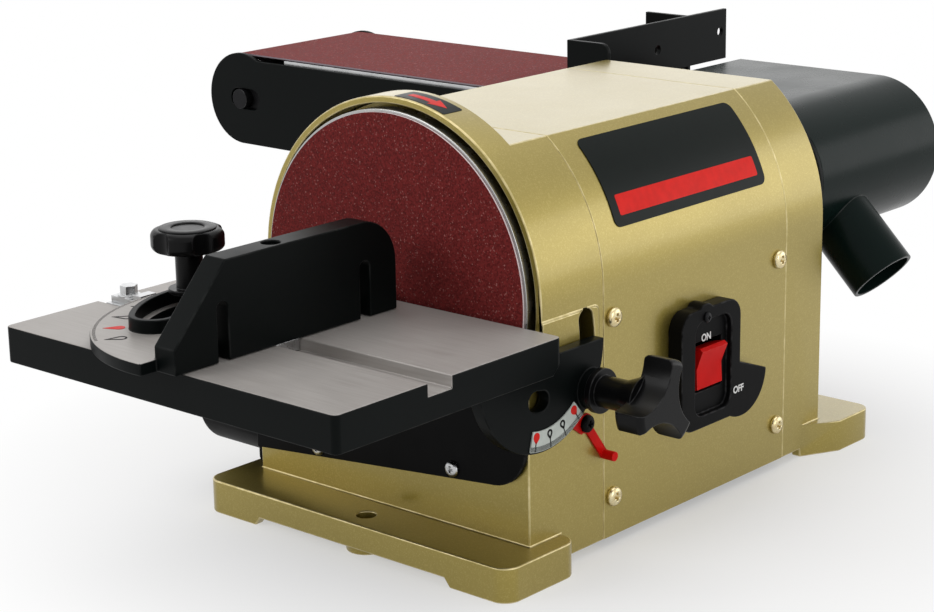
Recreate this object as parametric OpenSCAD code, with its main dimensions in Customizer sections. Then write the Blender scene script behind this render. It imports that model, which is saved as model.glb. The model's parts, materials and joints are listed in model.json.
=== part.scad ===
// Bench belt and disc sander.
// X points to the switch side, Y from the disc towards the sanding belt, Z up.
// The origin is on the bench, midway between the two bench bolts.

/* [Base] */
// Length of the base, front edge to rear edge
base_len = 286; // [282:1:300]
// Width of the base across its flanges
base_w = 186; // [180:1:200]
// Height of the flange's top above the bench
flange_h = 16; // [13:0.5:20]
// Clear height under the front edge, between the feet
foot_h = 4; // [2:0.5:6]
// Width of each front foot
foot_w = 32; // [20:1:40]
// Corner radius of the flanges
flange_r = 8; // [5:0.5:12]
// Length of the front flange along each side of the housing
flange_wrap = 48; // [40:1:50]
// Length over which the rear flange flares out of the housing
flange_flare = 20; // [10:1:26]
// Wall of the cast housings
cast_wall = 5; // [4:0.25:6]
// Bench bolt hole diameter
bolt_d = 9; // [6:0.5:11]
// Distance from the base's end to the bench bolt's centre
bolt_inset = 12; // [10:0.5:14]

/* [Housing] */
// Width of the housing, and twice the radius of its shoulders
body_w = 165.6; // [164:0.2:170]
// Height of the spindle above the bench
axis_z = 119; // [117:0.5:124]
// Height of the flat top
flat_z = 184; // [180:0.5:190]
// Base's front edge to the front wall
front_inset = 27; // [24:0.5:32]
// Front wall to the front of the disc's guard ring
ring_setback = 9; // [8:0.5:11]
// Depth of the full round guard ring
ring_len = 18; // [15:0.5:22]
// Front wall to the cover's front seam
front_len = 51.5; // [50:0.5:58]
// Length of the motor cover
cover_len = 141.5; // [138:0.5:160]
// Depth of the rear casting
rear_len = 32; // [30:0.5:36]
// Wall of the motor cover
cover_t = 2.5; // [1.5:0.25:3]
// Bottom edge of the motor cover above the bench
cover_z = 4; // [3:0.5:6]
// Length of the casting's lip under each end of the cover
lip_len = 13; // [11:0.5:16]
// Height of the top edge of the flat pad round the table lock's slot
pad_top = 114; // [112:0.5:116]
// How far the pad stands out of the housing's right wall
pad_t = 0.8; // [0.4:0.1:1]
// Gap between pieces that slide over each other when assembled
fit_gap = 0.1; // [0.05:0.01:0.2]

/* [Disc] */
// Diameter of the abrasive disc
disc_d = 152.4; // [140:0.2:153]
// Thickness of the abrasive disc
paper_t = 1; // [0.5:0.1:1.5]
// How far the abrasive face stands out of the guard ring
disc_proud = 4; // [2:0.5:5]
// Thickness of the aluminium disc plate
plate_t = 9; // [6:0.5:10]
// How far the plate's rim stands out round the abrasive disc
plate_rim = 1.3; // [0.5:0.1:1.8]
// Gap between the plate's rim and the guard ring
ring_gap = 2; // [1:0.25:2.5]
// Gap between the back of the disc plate's hub and the bulkhead
hub_gap = 1.5; // [1:0.25:2]
// Length of the disc plate's hub
hub_len = 4; // [3:0.5:5]
// Diameter of the disc plate's hub
hub_d = 36; // [28:1:44]
// Thickness of the bulkhead behind the disc
bulkhead_t = 5; // [4:0.5:6]

/* [Motor] */
// Diameter of the motor's shaft
shaft_d = 15; // [12:0.5:16]
// Running clearance of a shaft in its bearing, on the radius
run_gap = 0.05; // [0.02:0.01:0.09]
// Outside diameter of the motor's ball bearings
bearing_d = 35; // [32:0.5:38]
// Width of the motor's ball bearings
bearing_w = 11; // [9:0.5:12]
// Outside diameter of the stator
stator_d = 118; // [112:1:124]
// Length of the stator's core
stator_len = 68; // [56:1:74]
// Diameter of the rotor
rotor_d = 60; // [50:1:64]
// Air gap between rotor and stator
air_gap = 0.5; // [0.3:0.1:0.8]
// Reach of the windings past each end of the core
coil_reach = 16; // [10:0.5:18]
// Diameter of the long bolts that hold the stator
tie_d = 5; // [4:0.5:6]
// Diameter of the cooling fan
fan_d = 92; // [80:1:94]
// Width of the cooling fan
fan_w = 16; // [10:0.5:18]
// Number of blades on the cooling fan
fan_blades = 9; // [6:1:12]

/* [Drive] */
// Grooves' outside diameter on the motor's pulley
motor_pulley_d = 30; // [26:0.5:34]
// Grooves' outside diameter on the drum's pulley
drum_pulley_d = 33; // [28:0.5:36]
// Number of ribs on the drive belt
rib_n = 4; // [3:1:5]
// Pitch of the drive belt's ribs
rib_pitch = 2.6; // [2:0.1:2.8]
// Height of the drive belt's ribs
rib_h = 1.8; // [1:0.1:2]
// Thickness of the drive belt above its ribs
drive_t = 1.6; // [1:0.1:2.2]
// Gap between the drive belt and its pulleys
drive_gap = 0.3; // [0.2:0.05:0.5]

/* [Belt arm] */
// Sideways distance of the drum's axis from the spindle
drum_x = 44; // [42:0.5:48]
// Height of the drum's axis above the spindle
drum_rise = 14.5; // [12:0.5:17]
// Width of the sanding belt
belt_w = 101.6; // [96:0.2:104]
// Length of the sanding belt round its loop
belt_loop = 914.4; // [900:0.2:930]
// Thickness of the sanding belt
belt_t = 1; // [0.6:0.1:1.4]
// Diameter of the drum and the idler roller
roller_d = 51.4; // [48:0.2:53]
// Gap between the sanding belt and what it runs over
belt_gap = 0.3; // [0.2:0.05:0.5]
// Gap between the sanding belt's edge and each side plate
edge_gap = 1.2; // [0.8:0.1:2]
// Thickness of the side plates
side_t = 2.5; // [2:0.1:3]
// Gap between the rear casting and the arm
arm_gap = 0.8; // [0.5:0.1:1.2]
// How far the side plates' round ends stand past the belt
nose_rim = 0.5; // [0.3:0.1:2]
// Distance of the side plates' straight top edge below the belt's face
side_drop = 3.25; // [1:0.25:5]
// Diameter of the hub that the arm turns on
pivot_d = 40; // [36:0.5:44]
// Diameter of the drum's shaft
drum_shaft_d = 12; // [10:0.5:14]
// Outside diameter of the drum's ball bearing
drum_bearing_d = 28; // [26:0.5:30]
// Thickness of the platen under the belt
platen_t = 3; // [2:0.25:4]
// Depth of the platen's folded edges
platen_fold = 14; // [10:0.5:18]
// Length of the platen
platen_len = 299; // [270:1:300]
// Distance of the platen's end from the drum's axis
platen_start = 40; // [36:0.5:44]
// Diameter of the tubes between the side plates
spacer_d = 14; // [10:0.5:16]
// Diameter of the idler's axle
axle_d = 12; // [10:0.5:13]
// Travel of the idler when the belt is slackened
slack_travel = 6; // [4:0.5:8]
// Thickness of the idler fork's arms
fork_t = 2.5; // [2:0.1:3]
// Height of the idler fork's arms
fork_h = 14; // [13:0.5:16]
// Length of the idler fork from its axle
fork_len = 92; // [80:1:96]
// Width of the bar that joins the idler fork's arms
fork_bar_w = 10; // [8:0.5:14]
// Radius of the tension lever's cam
cam_r = 10; // [9.5:0.25:12]
// Thickness of the tension lever's cam and handle
cam_t = 8; // [6:0.5:8]
// Length of the tension lever's handle
handle_len = 58; // [40:1:64]
// Distance from the tension lever to the first tube between the side plates
tube_gap = 30; // [26:1:36]
// Distance of the tracking knob from the idler's axle
tracking_gap = 40; // [36:1:44]
// Radius of the tracking knob
tracking_r = 14; // [11:0.5:16]

/* [Belt hood] */
// Outside radius of the hood round the drum
hood_r = 36.5; // [35:0.25:40]
// Wall of the hood
hood_t = 2.2; // [1.6:0.1:3]
// Length of the hood's flat top from the drum's axis
hood_len = 89; // [80:1:94]
// Outside diameter of the belt's dust port
port_d = 34; // [28:0.5:40]
// Wall of both dust ports
port_t = 2; // [1.5:0.1:3]
// Reach of the belt's dust port from the drum's axis
port_reach = 71; // [60:0.5:80]
// Angle of the belt's dust port below level
port_angle = 45; // [30:1:60]
// Distance of the belt's dust port from the arm's front plate
port_y = 35; // [28:0.5:60]
// Distance of the hood's outer screw from the end of its flat top
hood_screw_in = 12; // [8:0.5:16]

/* [Work stop] */
// Distance of the work stop from the drum's axis
stop_x = 123; // [116:0.5:130]
// Height of the work stop's plate
stop_h = 28.5; // [20:0.5:36]
// Length of the work stop's plate across the belt
stop_len = 142; // [125:0.5:145]
// Length of the work stop's front fold
stop_fold = 25; // [15:0.5:30]
// Thickness of the work stop's plate
stop_t = 2.5; // [2:0.1:3]
// Gap between the work stop and the belt's face
stop_gap = 2; // [1:0.25:3]
// Width of the work stop's tab on the rear side plate
stop_tab = 30; // [24:1:36]
// Diameter of the two small holes in the work stop's plate
stop_hole_d = 5; // [3:0.5:6]

/* [Table] */
// Width of the table
table_w = 198; // [192:0.5:206]
// Depth of the table, towards the disc
table_depth = 134; // [124:0.5:136]
// Height of the table's top
table_z = 112.6; // [111:0.2:115]
// Thickness of the table's plate
table_t = 5; // [4:0.25:5.5]
// Height of the table's skirt
skirt_h = 16; // [13:0.5:17]
// Thickness of the table's skirt
skirt_t = 4; // [3:0.25:5]
// Gap between the table's edge and the abrasive disc
table_gap = 2; // [1.5:0.1:3]
// Width of the mitre slot
slot_w = 14; // [10:0.2:16]
// Depth of the mitre slot
slot_d = 5.5; // [4.5:0.25:6]
// Distance of the mitre slot's middle from the disc
slot_y = 77.5; // [75:0.5:80]
// Distance of the table's tilt axis below the table's top
pivot_drop = 11; // [10.5:0.25:12]
// Distance of the table's tilt axis in front of the disc
pivot_ahead = 3.6; // [3:0.1:4.5]
// Diameter of the table's pivot pins
pin_d = 6; // [5:0.25:6.5]
// Radius of the housing's ears round the pivot pins
ear_r = 5.6; // [5:0.1:5.7]
// Radius of the right trunnion
trunnion_r = 41; // [40:0.25:43]
// Radius of the left trunnion
left_trunnion_r = 34; // [28:0.5:36]
// Thickness of the trunnions
trunnion_t = 6; // [4:0.25:6.5]
// Gap between the right trunnion and the housing's pad
trunnion_gap = 0.4; // [0.3:0.1:0.8]
// Room round each trunnion under the table
trunnion_room = 1; // [0.5:0.25:2]
// Thickness of the pivot pins' heads
pin_head_t = 1.5; // [1:0.25:2]
// Distance of the right trunnion's window from the tilt axis
window_r = 18.3; // [16:0.1:20]
// Width of the right trunnion's window
window_w = 9; // [6:0.5:10]
// Largest tilt of the table in degrees
tilt_max = 45; // [30:1:45]
// Distance of the lock stud from the tilt axis
lock_r = 37.7; // [37:0.1:39]
// Angle of the lock stud below the tilt axis's level
lock_angle = 33; // [31:1:35]
// Radius of the trunnion's boss round the lock stud
lock_boss_r = 9; // [8:0.25:10]
// Height of the trunnion's boss round the lock stud
lock_boss_t = 4; // [3:0.25:5]
// Diameter of the lock stud
stud_d = 8; // [6:0.5:8]
// Clearance round the stud in its slot
stud_gap = 0.8; // [0.4:0.05:1]
// Inner radius of the tilt scale
scale_r0 = 31; // [29:0.25:32]
// Outer radius of the tilt scale
scale_r1 = 40; // [38:0.25:40]
// Thickness of the tilt scale
scale_t = 0.6; // [0.4:0.1:0.8]

/* [Knobs] */
// Radius of the table lock knob's arms
lock_knob_r = 20; // [18:0.5:24]
// Length of the table lock knob's neck
lock_neck = 25; // [22:0.5:30]
// Length of the table lock knob's head
lock_head = 15; // [12:0.5:20]
// Diameter of the table lock knob's neck
lock_neck_d = 14; // [12:0.5:16]
// Radius of the mitre knob
mitre_knob_r = 16; // [13:0.5:18]
// Thickness of the mitre knob's head
mitre_knob_h = 9.5; // [8:0.5:12]
// Height of the mitre knob's stem
mitre_stem = 18.5; // [14:0.5:22]
// Diameter of the mitre knob's stem
mitre_stem_d = 12; // [11:0.5:13]

/* [Mitre gauge] */
// Length of the fence
fence_len = 128; // [120:0.5:130]
// Height of the fence
fence_h = 42; // [34:0.5:48]
// Thickness of the fence
fence_t = 12; // [10:0.5:13]
// Distance of the fence's back from the swivel
fence_x = 3.5; // [3:0.25:6]
// Distance of the fence's middle from the swivel, towards the disc
fence_shift = 0.75; // [0:0.25:2]
// Length of the fence's sloping front end
fence_slope = 29; // [20:0.5:32]
// Height of the fence's upright front edge
fence_end = 10.5; // [8:0.5:20]
// Radius of the fence's top corner beside the disc
fence_r = 20; // [10:0.5:24]
// Width of the fence's screw slots, open at the bottom
fence_slot_w = 6; // [4:0.25:7]
// Height of the fence's screw slots
fence_slot_h = 25; // [18:0.5:30]
// Distance of the front screw slot from the fence's front end
fence_slot_front = 26.5; // [24:0.5:34]
// Distance of the rear screw slot from the fence's rear end
fence_slot_rear = 19.5; // [16:0.5:30]
// Radius of the protractor
protractor_r = 72; // [68:0.5:74]
// Thickness of the protractor
protractor_t = 5.2; // [4:0.2:6]
// Height of the raised wall round the clamp's slot
arc_rise = 6; // [4:0.5:7]
// Width across the raised wall
arc_w = 22; // [21:0.5:24]
// Thickness of the raised wall
arc_wall = 3; // [2:0.25:3]
// Radius of the protractor's arc slot
arc_r = 45; // [42:0.5:48]
// Half the sweep of the mitre head in degrees
mitre_max = 45; // [30:1:50]
// Diameter of the mitre clamp's screw
clamp_d = 8; // [6:0.5:8]
// Gap under the head and beside the bar
slide_gap = 0.3; // [0.2:0.05:0.5]
// Distance of the bar's left end inside the table's edge
bar_inset = 5; // [3:0.5:11]
// Reach of the bar to the right of the swivel
bar_right = 14; // [12:0.5:20]

/* [Switch] */
// Distance of the switch behind the cover's front seam
switch_y = 71.5; // [66:0.5:80]
// Height of the switch's middle
switch_z = 70; // [66:0.5:74]
// Width of the switch's plate
switch_w = 46; // [42:0.5:50]
// Height of the switch's plate
switch_h = 57; // [52:0.5:60]
// How far the switch stands out of the cover
switch_t = 8; // [6:0.5:10]
// Width of the rocker
rocker_w = 19.5; // [16:0.5:22]
// Height of the rocker
rocker_h = 23; // [20:0.5:26]
// Tilt of the rocker each way in degrees
rocker_tilt = 9; // [6:0.5:10]

/* [Disc dust chute] */
// Thickness of the lower disc guard
guard_t = 2.5; // [2:0.1:3]
// Height of the guard's top edge
guard_top = 88; // [84:0.5:90]
// Height of the guard's bottom edge at its left end
guard_low = 27; // [24:0.5:30]
// Height of the guard's bottom edge before its right corner
guard_high = 41; // [36:0.5:44]
// Radius of the guard's right bottom corner
guard_r = 20; // [14:0.5:24]
// Outside diameter of the disc's dust spout
spout_d = 46; // [40:0.5:46]
// Length of the disc's dust spout
spout_len = 42; // [30:0.5:50]
// Height of the disc's dust spout
spout_z = 40; // [39.5:0.25:42]

/* [Hidden] */
$fn = 64;

gold = "#b3a468";
black = "#1d1e20";
dark = "#2c2e30";
steel = "#b9bcc0";
grey = "#8d9094";
red = "#b3201c";
grit = "#5a2522";
white = "#e6e6e2";
copper = "#a9643a";

// How far a straight edge stands inside the arc that it runs into
hair = 0.05;
// Diameter of the small screws
screw_d = 4;

// Planes along Y, from the disc side to the belt side
body_r = body_w / 2;
base_y = base_len / 2;
front_y = front_inset - base_y;
ring_y = front_y + ring_setback;
ring_back_y = ring_y + ring_len;
seam1_y = front_y + front_len;
seam2_y = seam1_y + cover_len;
rear_y = seam2_y + rear_len;
disc_y = ring_y - disc_proud;
plate_y = disc_y + paper_t;
hub_y = plate_y + plate_t;
bulkhead_y = hub_y + hub_len + hub_gap;
bulkhead_back_y = bulkhead_y + bulkhead_t;
chamber_r = disc_d / 2 + plate_rim + ring_gap;
bolt_boss_d = bolt_d + 2 * cast_wall;

// Bearings, motor and drive
boss_wall = 5;
bearing1_y = bulkhead_y + boss_wall / 2;
rear_wall_t = boss_wall + 1;
bearing2_y = seam2_y - bearing_w / 2;
motor_y = (bulkhead_back_y + seam2_y) / 2 - coil_reach / 2;
tie_r = stator_d / 2 - tie_d - 2;
coil_r = tie_r - tie_d / 2 - 2;
fan_y = motor_y + stator_len / 2 + coil_reach + 3;
drum_z = axis_z + drum_rise;
drum_pivot_len = arm_gap + side_t;
drive_w = rib_n * rib_pitch + 2;
drive_y = seam2_y + rear_wall_t + 2;
drive_span = norm([drum_x, drum_rise]);
drive_turn = atan2(drum_rise, drum_x);

// Sanding belt loop
arm_y = rear_y + arm_gap;
arm_in_y = arm_y + side_t;
belt_y = arm_in_y + edge_gap;
arm_out_y = belt_y + belt_w + edge_gap;
arm_back_y = arm_out_y + side_t;
belt_in_r = roller_d / 2 + belt_gap;
belt_r = belt_in_r + belt_t;
belt_span = belt_loop / 2 - PI * (belt_in_r + belt_t / 2);
idler_x = drum_x - belt_span;
nose_r = belt_r + nose_rim;
fork_y = arm_in_y + edge_gap;
fork_back_y = arm_out_y - edge_gap;
fork_end_x = idler_x + fork_len;
lever_x = fork_end_x + slide_gap + cam_r + slack_travel / 2;
lever_z = drum_z - 4;
tracking_x = idler_x + tracking_gap;
hood_screw_x = [drum_x - hood_len + hood_screw_in, drum_x - hood_r / 2];
hood_screw_z = drum_z + belt_r - side_drop - 2 * screw_d;
stop_screw_x = drum_x - stop_x - (stop_tab + stop_t) / 2;
stop_screw_z = [drum_z - hood_r * 0.4, drum_z + hood_r * 0.2];

// Table, trunnions and mitre gauge
table_x = table_w / 2;
table_back_y = disc_y - table_gap;
table_front_y = table_back_y - table_depth;
table_low_z = table_z - table_t;
pivot_y = disc_y - pivot_ahead;
pivot_z = table_z - pivot_drop;
trunnion_x = body_r + pad_t + trunnion_gap;
trunnion_out_x = trunnion_x + trunnion_t;
stud_y = pivot_y + lock_r * cos(lock_angle);
stud_z = pivot_z - lock_r * sin(lock_angle);
wall_in_x = body_r - cast_wall - cover_t;
boss_x = trunnion_out_x + lock_boss_t;
slot_mid_y = disc_y - slot_y;
slot_floor_z = table_z - slot_d;
head_z = table_z + slide_gap;
plate_top_z = head_z + protractor_t;
head_top_z = plate_top_z + arc_rise;
fence_mid_y = slot_mid_y + fence_shift;
knob_z = head_top_z + slide_gap;
bar_left = table_x - bar_inset;

// Switch and screws
switch_mid_y = seam1_y + switch_y;
switch_bump_y = -switch_w / 8;
switch_bump_z = switch_h / 2 - 4.5;
rocker_x = body_r + switch_t - 2;
screw_in = lip_len / 2;
screw_low_z = 23;
screw_high_z = axis_z - 13;
screw_head_d = 9;
screw_gap = 0.1;
spout_y = front_y + spout_d / 2 - 2;

// Extrudes a drawing of X and Z along Y
module along_y(y0, y1) {
    translate([0, y1, 0]) rotate([90, 0, 0]) linear_extrude(y1 - y0) children();
}

// Extrudes a drawing of Y and Z along X
module along_x(x0, x1) {
    translate([x0, 0, 0]) rotate([90, 0, 90]) linear_extrude(x1 - x0) children();
}

// A round bar along Y, or a ring when a bore is given
module bar_y(x, z, y0, y1, d, bore = 0) {
    along_y(y0, y1) translate([x, z]) difference() {
        circle(d = d);
        if (bore > 0) circle(d = bore);
    }
}

// A round bar along X
module bar_x(y, z, x0, x1, d, bore = 0) {
    along_x(x0, x1) translate([y, z]) difference() {
        circle(d = d);
        if (bore > 0) circle(d = bore);
    }
}

// A rectangle with round corners, as four arcs and two bars
module round_box(x0, y0, x1, y1, r) {
    for (x = [x0 + r, x1 - r], y = [y0 + r, y1 - r]) translate([x, y]) circle(r);
    translate([x0 + r, y0]) square([x1 - x0 - 2 * r, y1 - y0]);
    translate([x0, y0 + r]) square([x1 - x0, y1 - y0 - 2 * r]);
}

// A bar with two round ends between two points
module link(a, b, r) {
    turn = atan2(b[1] - a[1], b[0] - a[0]);
    translate(a) rotate(turn) translate([0, -r]) square([norm(b - a), 2 * r]);
    translate(a) circle(r);
    translate(b) circle(r);
}

// A sector of a ring, its angles measured from +X
module sector(r0, r1, a0, a1) {
    steps = ceil((a1 - a0) / 60);
    step = (a1 - a0) / steps;
    far = 2 * r1;
    intersection() {
        difference() {
            circle(r1);
            if (r0 > 0) circle(r0);
        }
        union() {
            for (i = [0:steps - 1]) {
                a = a0 + i * step;
                polygon([[0, 0], far * [cos(a), sin(a)], far * [cos(a + step), sin(a + step)]]);
            }
        }
    }
}

// A ring's sector with round ends, a hair narrower than the sector so that each end meets it in an edge
module arc_slot(r, w, a0, a1) {
    sector(r - w / 2, r + w / 2, a0, a1);
    for (a = [a0, a1]) rotate(a) translate([r, 0]) circle(d = w - 2 * hair);
}

// A knob's outline, outside its blank but for the hollows between its arms
module lobes(r, n, hollow_r, hollow_at) {
    difference() {
        circle(r + 1);
        for (i = [0:n - 1]) rotate(90 + (i + 0.5) * 360 / n) translate([hollow_at, 0]) circle(hollow_r);
    }
}

// A turned blank with rounded rims, standing on Z = 0
module blank(r, h, edge) {
    rotate_extrude() {
        square([r - edge, h]);
        translate([0, edge]) square([r, h - 2 * edge]);
        for (z = [edge, h - edge]) translate([r - edge, z]) circle(edge, $fn = 24);
    }
}

// The housing's outline across the machine: straight walls, round shoulders, flat or round top
module housing_outline(inset, low, flat_top) {
    r = body_r - inset;
    top = flat_top ? flat_z - inset : axis_z + body_r;
    intersection() {
        union() {
            translate([0, axis_z]) circle(r);
            translate([-r, low]) square([2 * r, axis_z - low]);
        }
        translate([-body_r, low]) square([2 * body_r, top - low]);
    }
}

// The front flange's outline on the bench
module front_flange_outline(inset) {
    x = base_w / 2 - inset;
    y0 = -base_y + inset;
    y1 = flange_wrap - base_y - inset;
    round_box(-x, y0, x, y1, flange_r - inset / 2);
}

// The rear flange's outline on the bench, flaring out of the housing
module rear_flange_outline(inset) {
    x = base_w / 2 - inset;
    y0 = rear_y - rear_len / 2;
    wide_y = y0 + flange_flare;
    y1 = base_y - inset;
    r = flange_r - inset / 2;
    polygon([[-body_r + inset, y0], [body_r - inset, y0], [x, wide_y], [x, y1 - r], [x - r, y1],
        [r - x, y1], [-x, y1 - r], [-x, wide_y]]);
    for (s = [-1, 1]) translate([s * (x - r), y1 - r]) circle(r);
}

// A flange as a hollow tray with a boss for its bench bolt
module flange_tray(bolt_y) {
    difference() {
        linear_extrude(flange_h) children(0);
        translate([0, 0, -1]) linear_extrude(flange_h - cast_wall + 1) children(1);
    }
    translate([0, bolt_y, 0]) cylinder(d = bolt_boss_d, h = flange_h - 1);
}

module bolt_hole(bolt_y) {
    translate([0, bolt_y, -1]) cylinder(d = bolt_d, h = flange_h + 2);
}

// The lower disc guard's outline: a floor that falls to the left and a round right corner
module guard_outline() {
    corner_x = body_r - guard_r;
    slope = atan2(guard_high - guard_low, corner_x + body_r);
    end_x = corner_x + (guard_r - hair) * sin(slope);
    centre_z = guard_high + (guard_r - hair) * cos(slope);
    polygon([[-body_r, guard_low], [end_x, guard_high], [corner_x, centre_z], [body_r, centre_z],
        [body_r, guard_top], [-body_r, guard_top]]);
    translate([corner_x, centre_z]) circle(guard_r);
}

// The disc's chamber across the machine, with its sloping dust floor
module chamber_outline() {
    x = body_r - cast_wall;
    rise = guard_high - guard_low;
    translate([0, axis_z]) circle(chamber_r);
    polygon([[-x, guard_low + cast_wall], [x - guard_r, guard_low + rise + cast_wall],
        [x, guard_low + rise + guard_r], [x, guard_top - cast_wall], [-x, guard_top - cast_wall]]);
}

// Seats for the stator bolts' ends
module tie_places() {
    for (a = [45:90:315]) translate([tie_r * cos(a), axis_z + tie_r * sin(a)]) children();
}

module front_casting() {
    lip_y = seam1_y + lip_len;
    boss_d = bearing_d + 2 * boss_wall;
    color(gold) difference() {
        union() {
            along_y(ring_y, ring_back_y) housing_outline(0, foot_h, false);
            along_y(ring_back_y, seam1_y) housing_outline(0, foot_h, true);
            along_y(seam1_y, lip_y) housing_outline(cover_t + fit_gap, cover_z + cover_t, true);
            along_y(front_y, ring_y) translate([-body_r, foot_h]) square([2 * body_r, guard_top - foot_h]);
            for (s = [-1, 1]) along_x(s > 0 ? body_r - cast_wall : -body_r, s > 0 ? body_r : cast_wall - body_r)
                pivot_ear();
            along_x(body_r - 1, body_r + pad_t) lock_pad();
            flange_tray(bolt_inset - base_y) {
                front_flange_outline(0);
                front_flange_outline(cast_wall);
            }
        }
        along_y(front_y - 1, bulkhead_y) chamber_outline();
        difference() {
            along_y(bulkhead_back_y, lip_y + 1)
                housing_outline(cast_wall + cover_t, flange_h + cast_wall, true);
            bar_y(0, axis_z, bulkhead_y, bearing1_y + bearing_w, boss_d);
        }
        along_y(front_y + cast_wall, seam1_y - cast_wall) translate([-body_r + cast_wall, -1])
            square([2 * (body_r - cast_wall), flange_h - cast_wall + 1]);
        front_foot_notch();
        bolt_hole(bolt_inset - base_y);
        bar_y(0, axis_z, bearing1_y, bearing1_y + bearing_w + 1, bearing_d + 2 * fit_gap);
        bar_y(0, axis_z, bulkhead_y - 1, bulkhead_back_y, shaft_d + 4);
        for (s = [-1, 1]) bar_x(pivot_y, pivot_z, s > 0 ? body_r - cast_wall - 1 : -body_r - 1,
            s > 0 ? body_r + 1 : cast_wall - body_r + 1, pin_d + 2 * run_gap);
        along_x(wall_in_x - 1, body_r + pad_t + 1) translate([pivot_y, pivot_z])
            arc_slot(lock_r, stud_d + 2 * stud_gap, -lock_angle, tilt_max - lock_angle);
        side_screw_holes(seam1_y + screw_in);
        translate([-body_r - 1, spout_hole_y(), spout_z - spout_d / 4])
            cube([cast_wall + 2, spout_hole_w(), spout_d / 2]);
        guard_screw_places() bar_y(0, 0, front_y - 1, front_y + cast_wall, screw_d + 2 * screw_gap);
    }
}

function spout_hole_y() = front_y + cast_wall;
function spout_hole_w() = bulkhead_y - spout_hole_y() - 1;

// Clear space under the front edge, round the bench bolt's boss
module front_foot_notch() {
    x = base_w / 2 - foot_w;
    difference() {
        along_y(-base_y - 1, front_y - cast_wall)
            polygon([[-x, -1], [x, -1], [x - foot_h, foot_h], [foot_h - x, foot_h]]);
        translate([0, bolt_inset - base_y, -2]) cylinder(d = bolt_boss_d, h = flange_h);
    }
}

// Flat pad on the right wall round the table lock's slot, in Y and Z
module lock_pad() {
    low_z = stud_z - lock_boss_r;
    pad_end = cast_wall - 1;
    intersection() {
        round_box(front_y, low_z, seam1_y - pad_end, pad_top, 3);
        translate([ring_y, low_z]) square([front_len, pad_top - low_z]);
    }
}

// An ear of the housing round a pivot pin, in Y and Z, low enough for the table to tilt over it
module pivot_ear() {
    translate([pivot_y, pivot_z]) circle(ear_r);
    translate([front_y, guard_top - 1]) square([ring_setback + 1, pivot_z + ear_r - guard_top + 1]);
}

// Holes for the cover's screws at one end of the cover, on both sides
module side_screw_holes(y) {
    for (z = [screw_low_z, screw_high_z])
        bar_x(y, z, -body_r - 1, body_r + 1, screw_d + 2 * screw_gap);
}

module guard_screw_places() {
    x = body_r / 2;
    for (s = [-1, 1]) translate([s * x, 0, guard_screw_z(s * x)]) children();
}

function guard_screw_z(x) = guard_low + (guard_high - guard_low) * (x + body_r) / (2 * body_r - guard_r) + 4.5;

module rear_casting() {
    lip_y = seam2_y - lip_len;
    boss_d = bearing_d + 2 * boss_wall;
    back_y = rear_y - rear_wall_t;
    color(gold) difference() {
        union() {
            along_y(seam2_y, rear_y) housing_outline(0, foot_h, true);
            along_y(lip_y, seam2_y) housing_outline(cover_t + fit_gap, cover_z + cover_t, true);
            flange_tray(base_y - bolt_inset) {
                rear_flange_outline(0);
                rear_flange_outline(cast_wall);
            }
            bar_y(drum_x, drum_z, rear_y, rear_y + drum_pivot_len, pivot_d);
        }
        difference() {
            along_y(lip_y - 1, seam2_y) housing_outline(cast_wall + cover_t, flange_h + cast_wall, true);
            bar_y(0, axis_z, bearing2_y - boss_wall / 2, seam2_y, boss_d);
        }
        along_y(seam2_y + rear_wall_t, back_y) housing_outline(cast_wall, flange_h + cast_wall, true);
        along_y(seam2_y + cast_wall, rear_y - cast_wall) translate([-body_r + cast_wall, -1])
            square([2 * (body_r - cast_wall), flange_h - cast_wall + 1]);
        bolt_hole(base_y - bolt_inset);
        bar_y(0, axis_z, bearing2_y - boss_wall, bearing2_y + bearing_w, bearing_d + 2 * fit_gap);
        bar_y(0, axis_z, seam2_y, back_y, shaft_d + 4);
        bar_y(drum_x, drum_z, back_y - 1, rear_y + drum_pivot_len + 1, drum_shaft_d + 3);
        bar_y(drum_x, drum_z, back_y - 1, drum_bearing_y() + drum_bearing_w(), drum_bearing_d + 2 * fit_gap);
        side_screw_holes(seam2_y - screw_in);
        bar_x(rear_y - rear_len / 2, gland_z, -body_r - 1, -body_r + cast_wall + 1, gland_d + 2 * fit_gap);
    }
}

gland_z = 45;
gland_d = 16;

function drum_bearing_y() = rear_y - rear_wall_t;
function drum_bearing_w() = rear_wall_t + drum_pivot_len - 2;

module motor_cover() {
    color(gold) difference() {
        along_y(seam1_y, seam2_y) difference() {
            housing_outline(0, cover_z, true);
            housing_outline(cover_t, cover_z - 1, true);
        }
        for (y = [seam1_y + screw_in, seam2_y - screw_in]) side_screw_holes(y);
        translate([0, switch_mid_y - rocker_w / 2 - 2, switch_z - rocker_h / 2 - 2])
            cube([body_r + 1, rocker_w + 4, rocker_h + 4]);
    }
}

module bottom_plate() {
    x = body_r - cover_t - fit_gap;
    vent_n = 9;
    vent_pitch = 11;
    vent_w = 5;
    color(dark) difference() {
        translate([-x, seam1_y, cover_z]) cube([2 * x, cover_len, cover_t]);
        for (i = [0:vent_n - 1], s = [-1, 1])
            translate([s * x / 2, (seam1_y + seam2_y) / 2 + (i - (vent_n - 1) / 2) * vent_pitch, cover_z - 1])
                linear_extrude(cover_t + 2) link([-x / 4, 0], [x / 4, 0], vent_w / 2);
    }
}

// A pan head screw whose head's underside is at Z = 0 and whose shank points down
module pan_screw(d, head_d, shank) {
    head_h = head_d * 0.3;
    translate([0, 0, -shank]) cylinder(d = d, h = shank + head_h / 2);
    blank(head_d / 2, head_h, head_h * 0.45);
}

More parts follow.
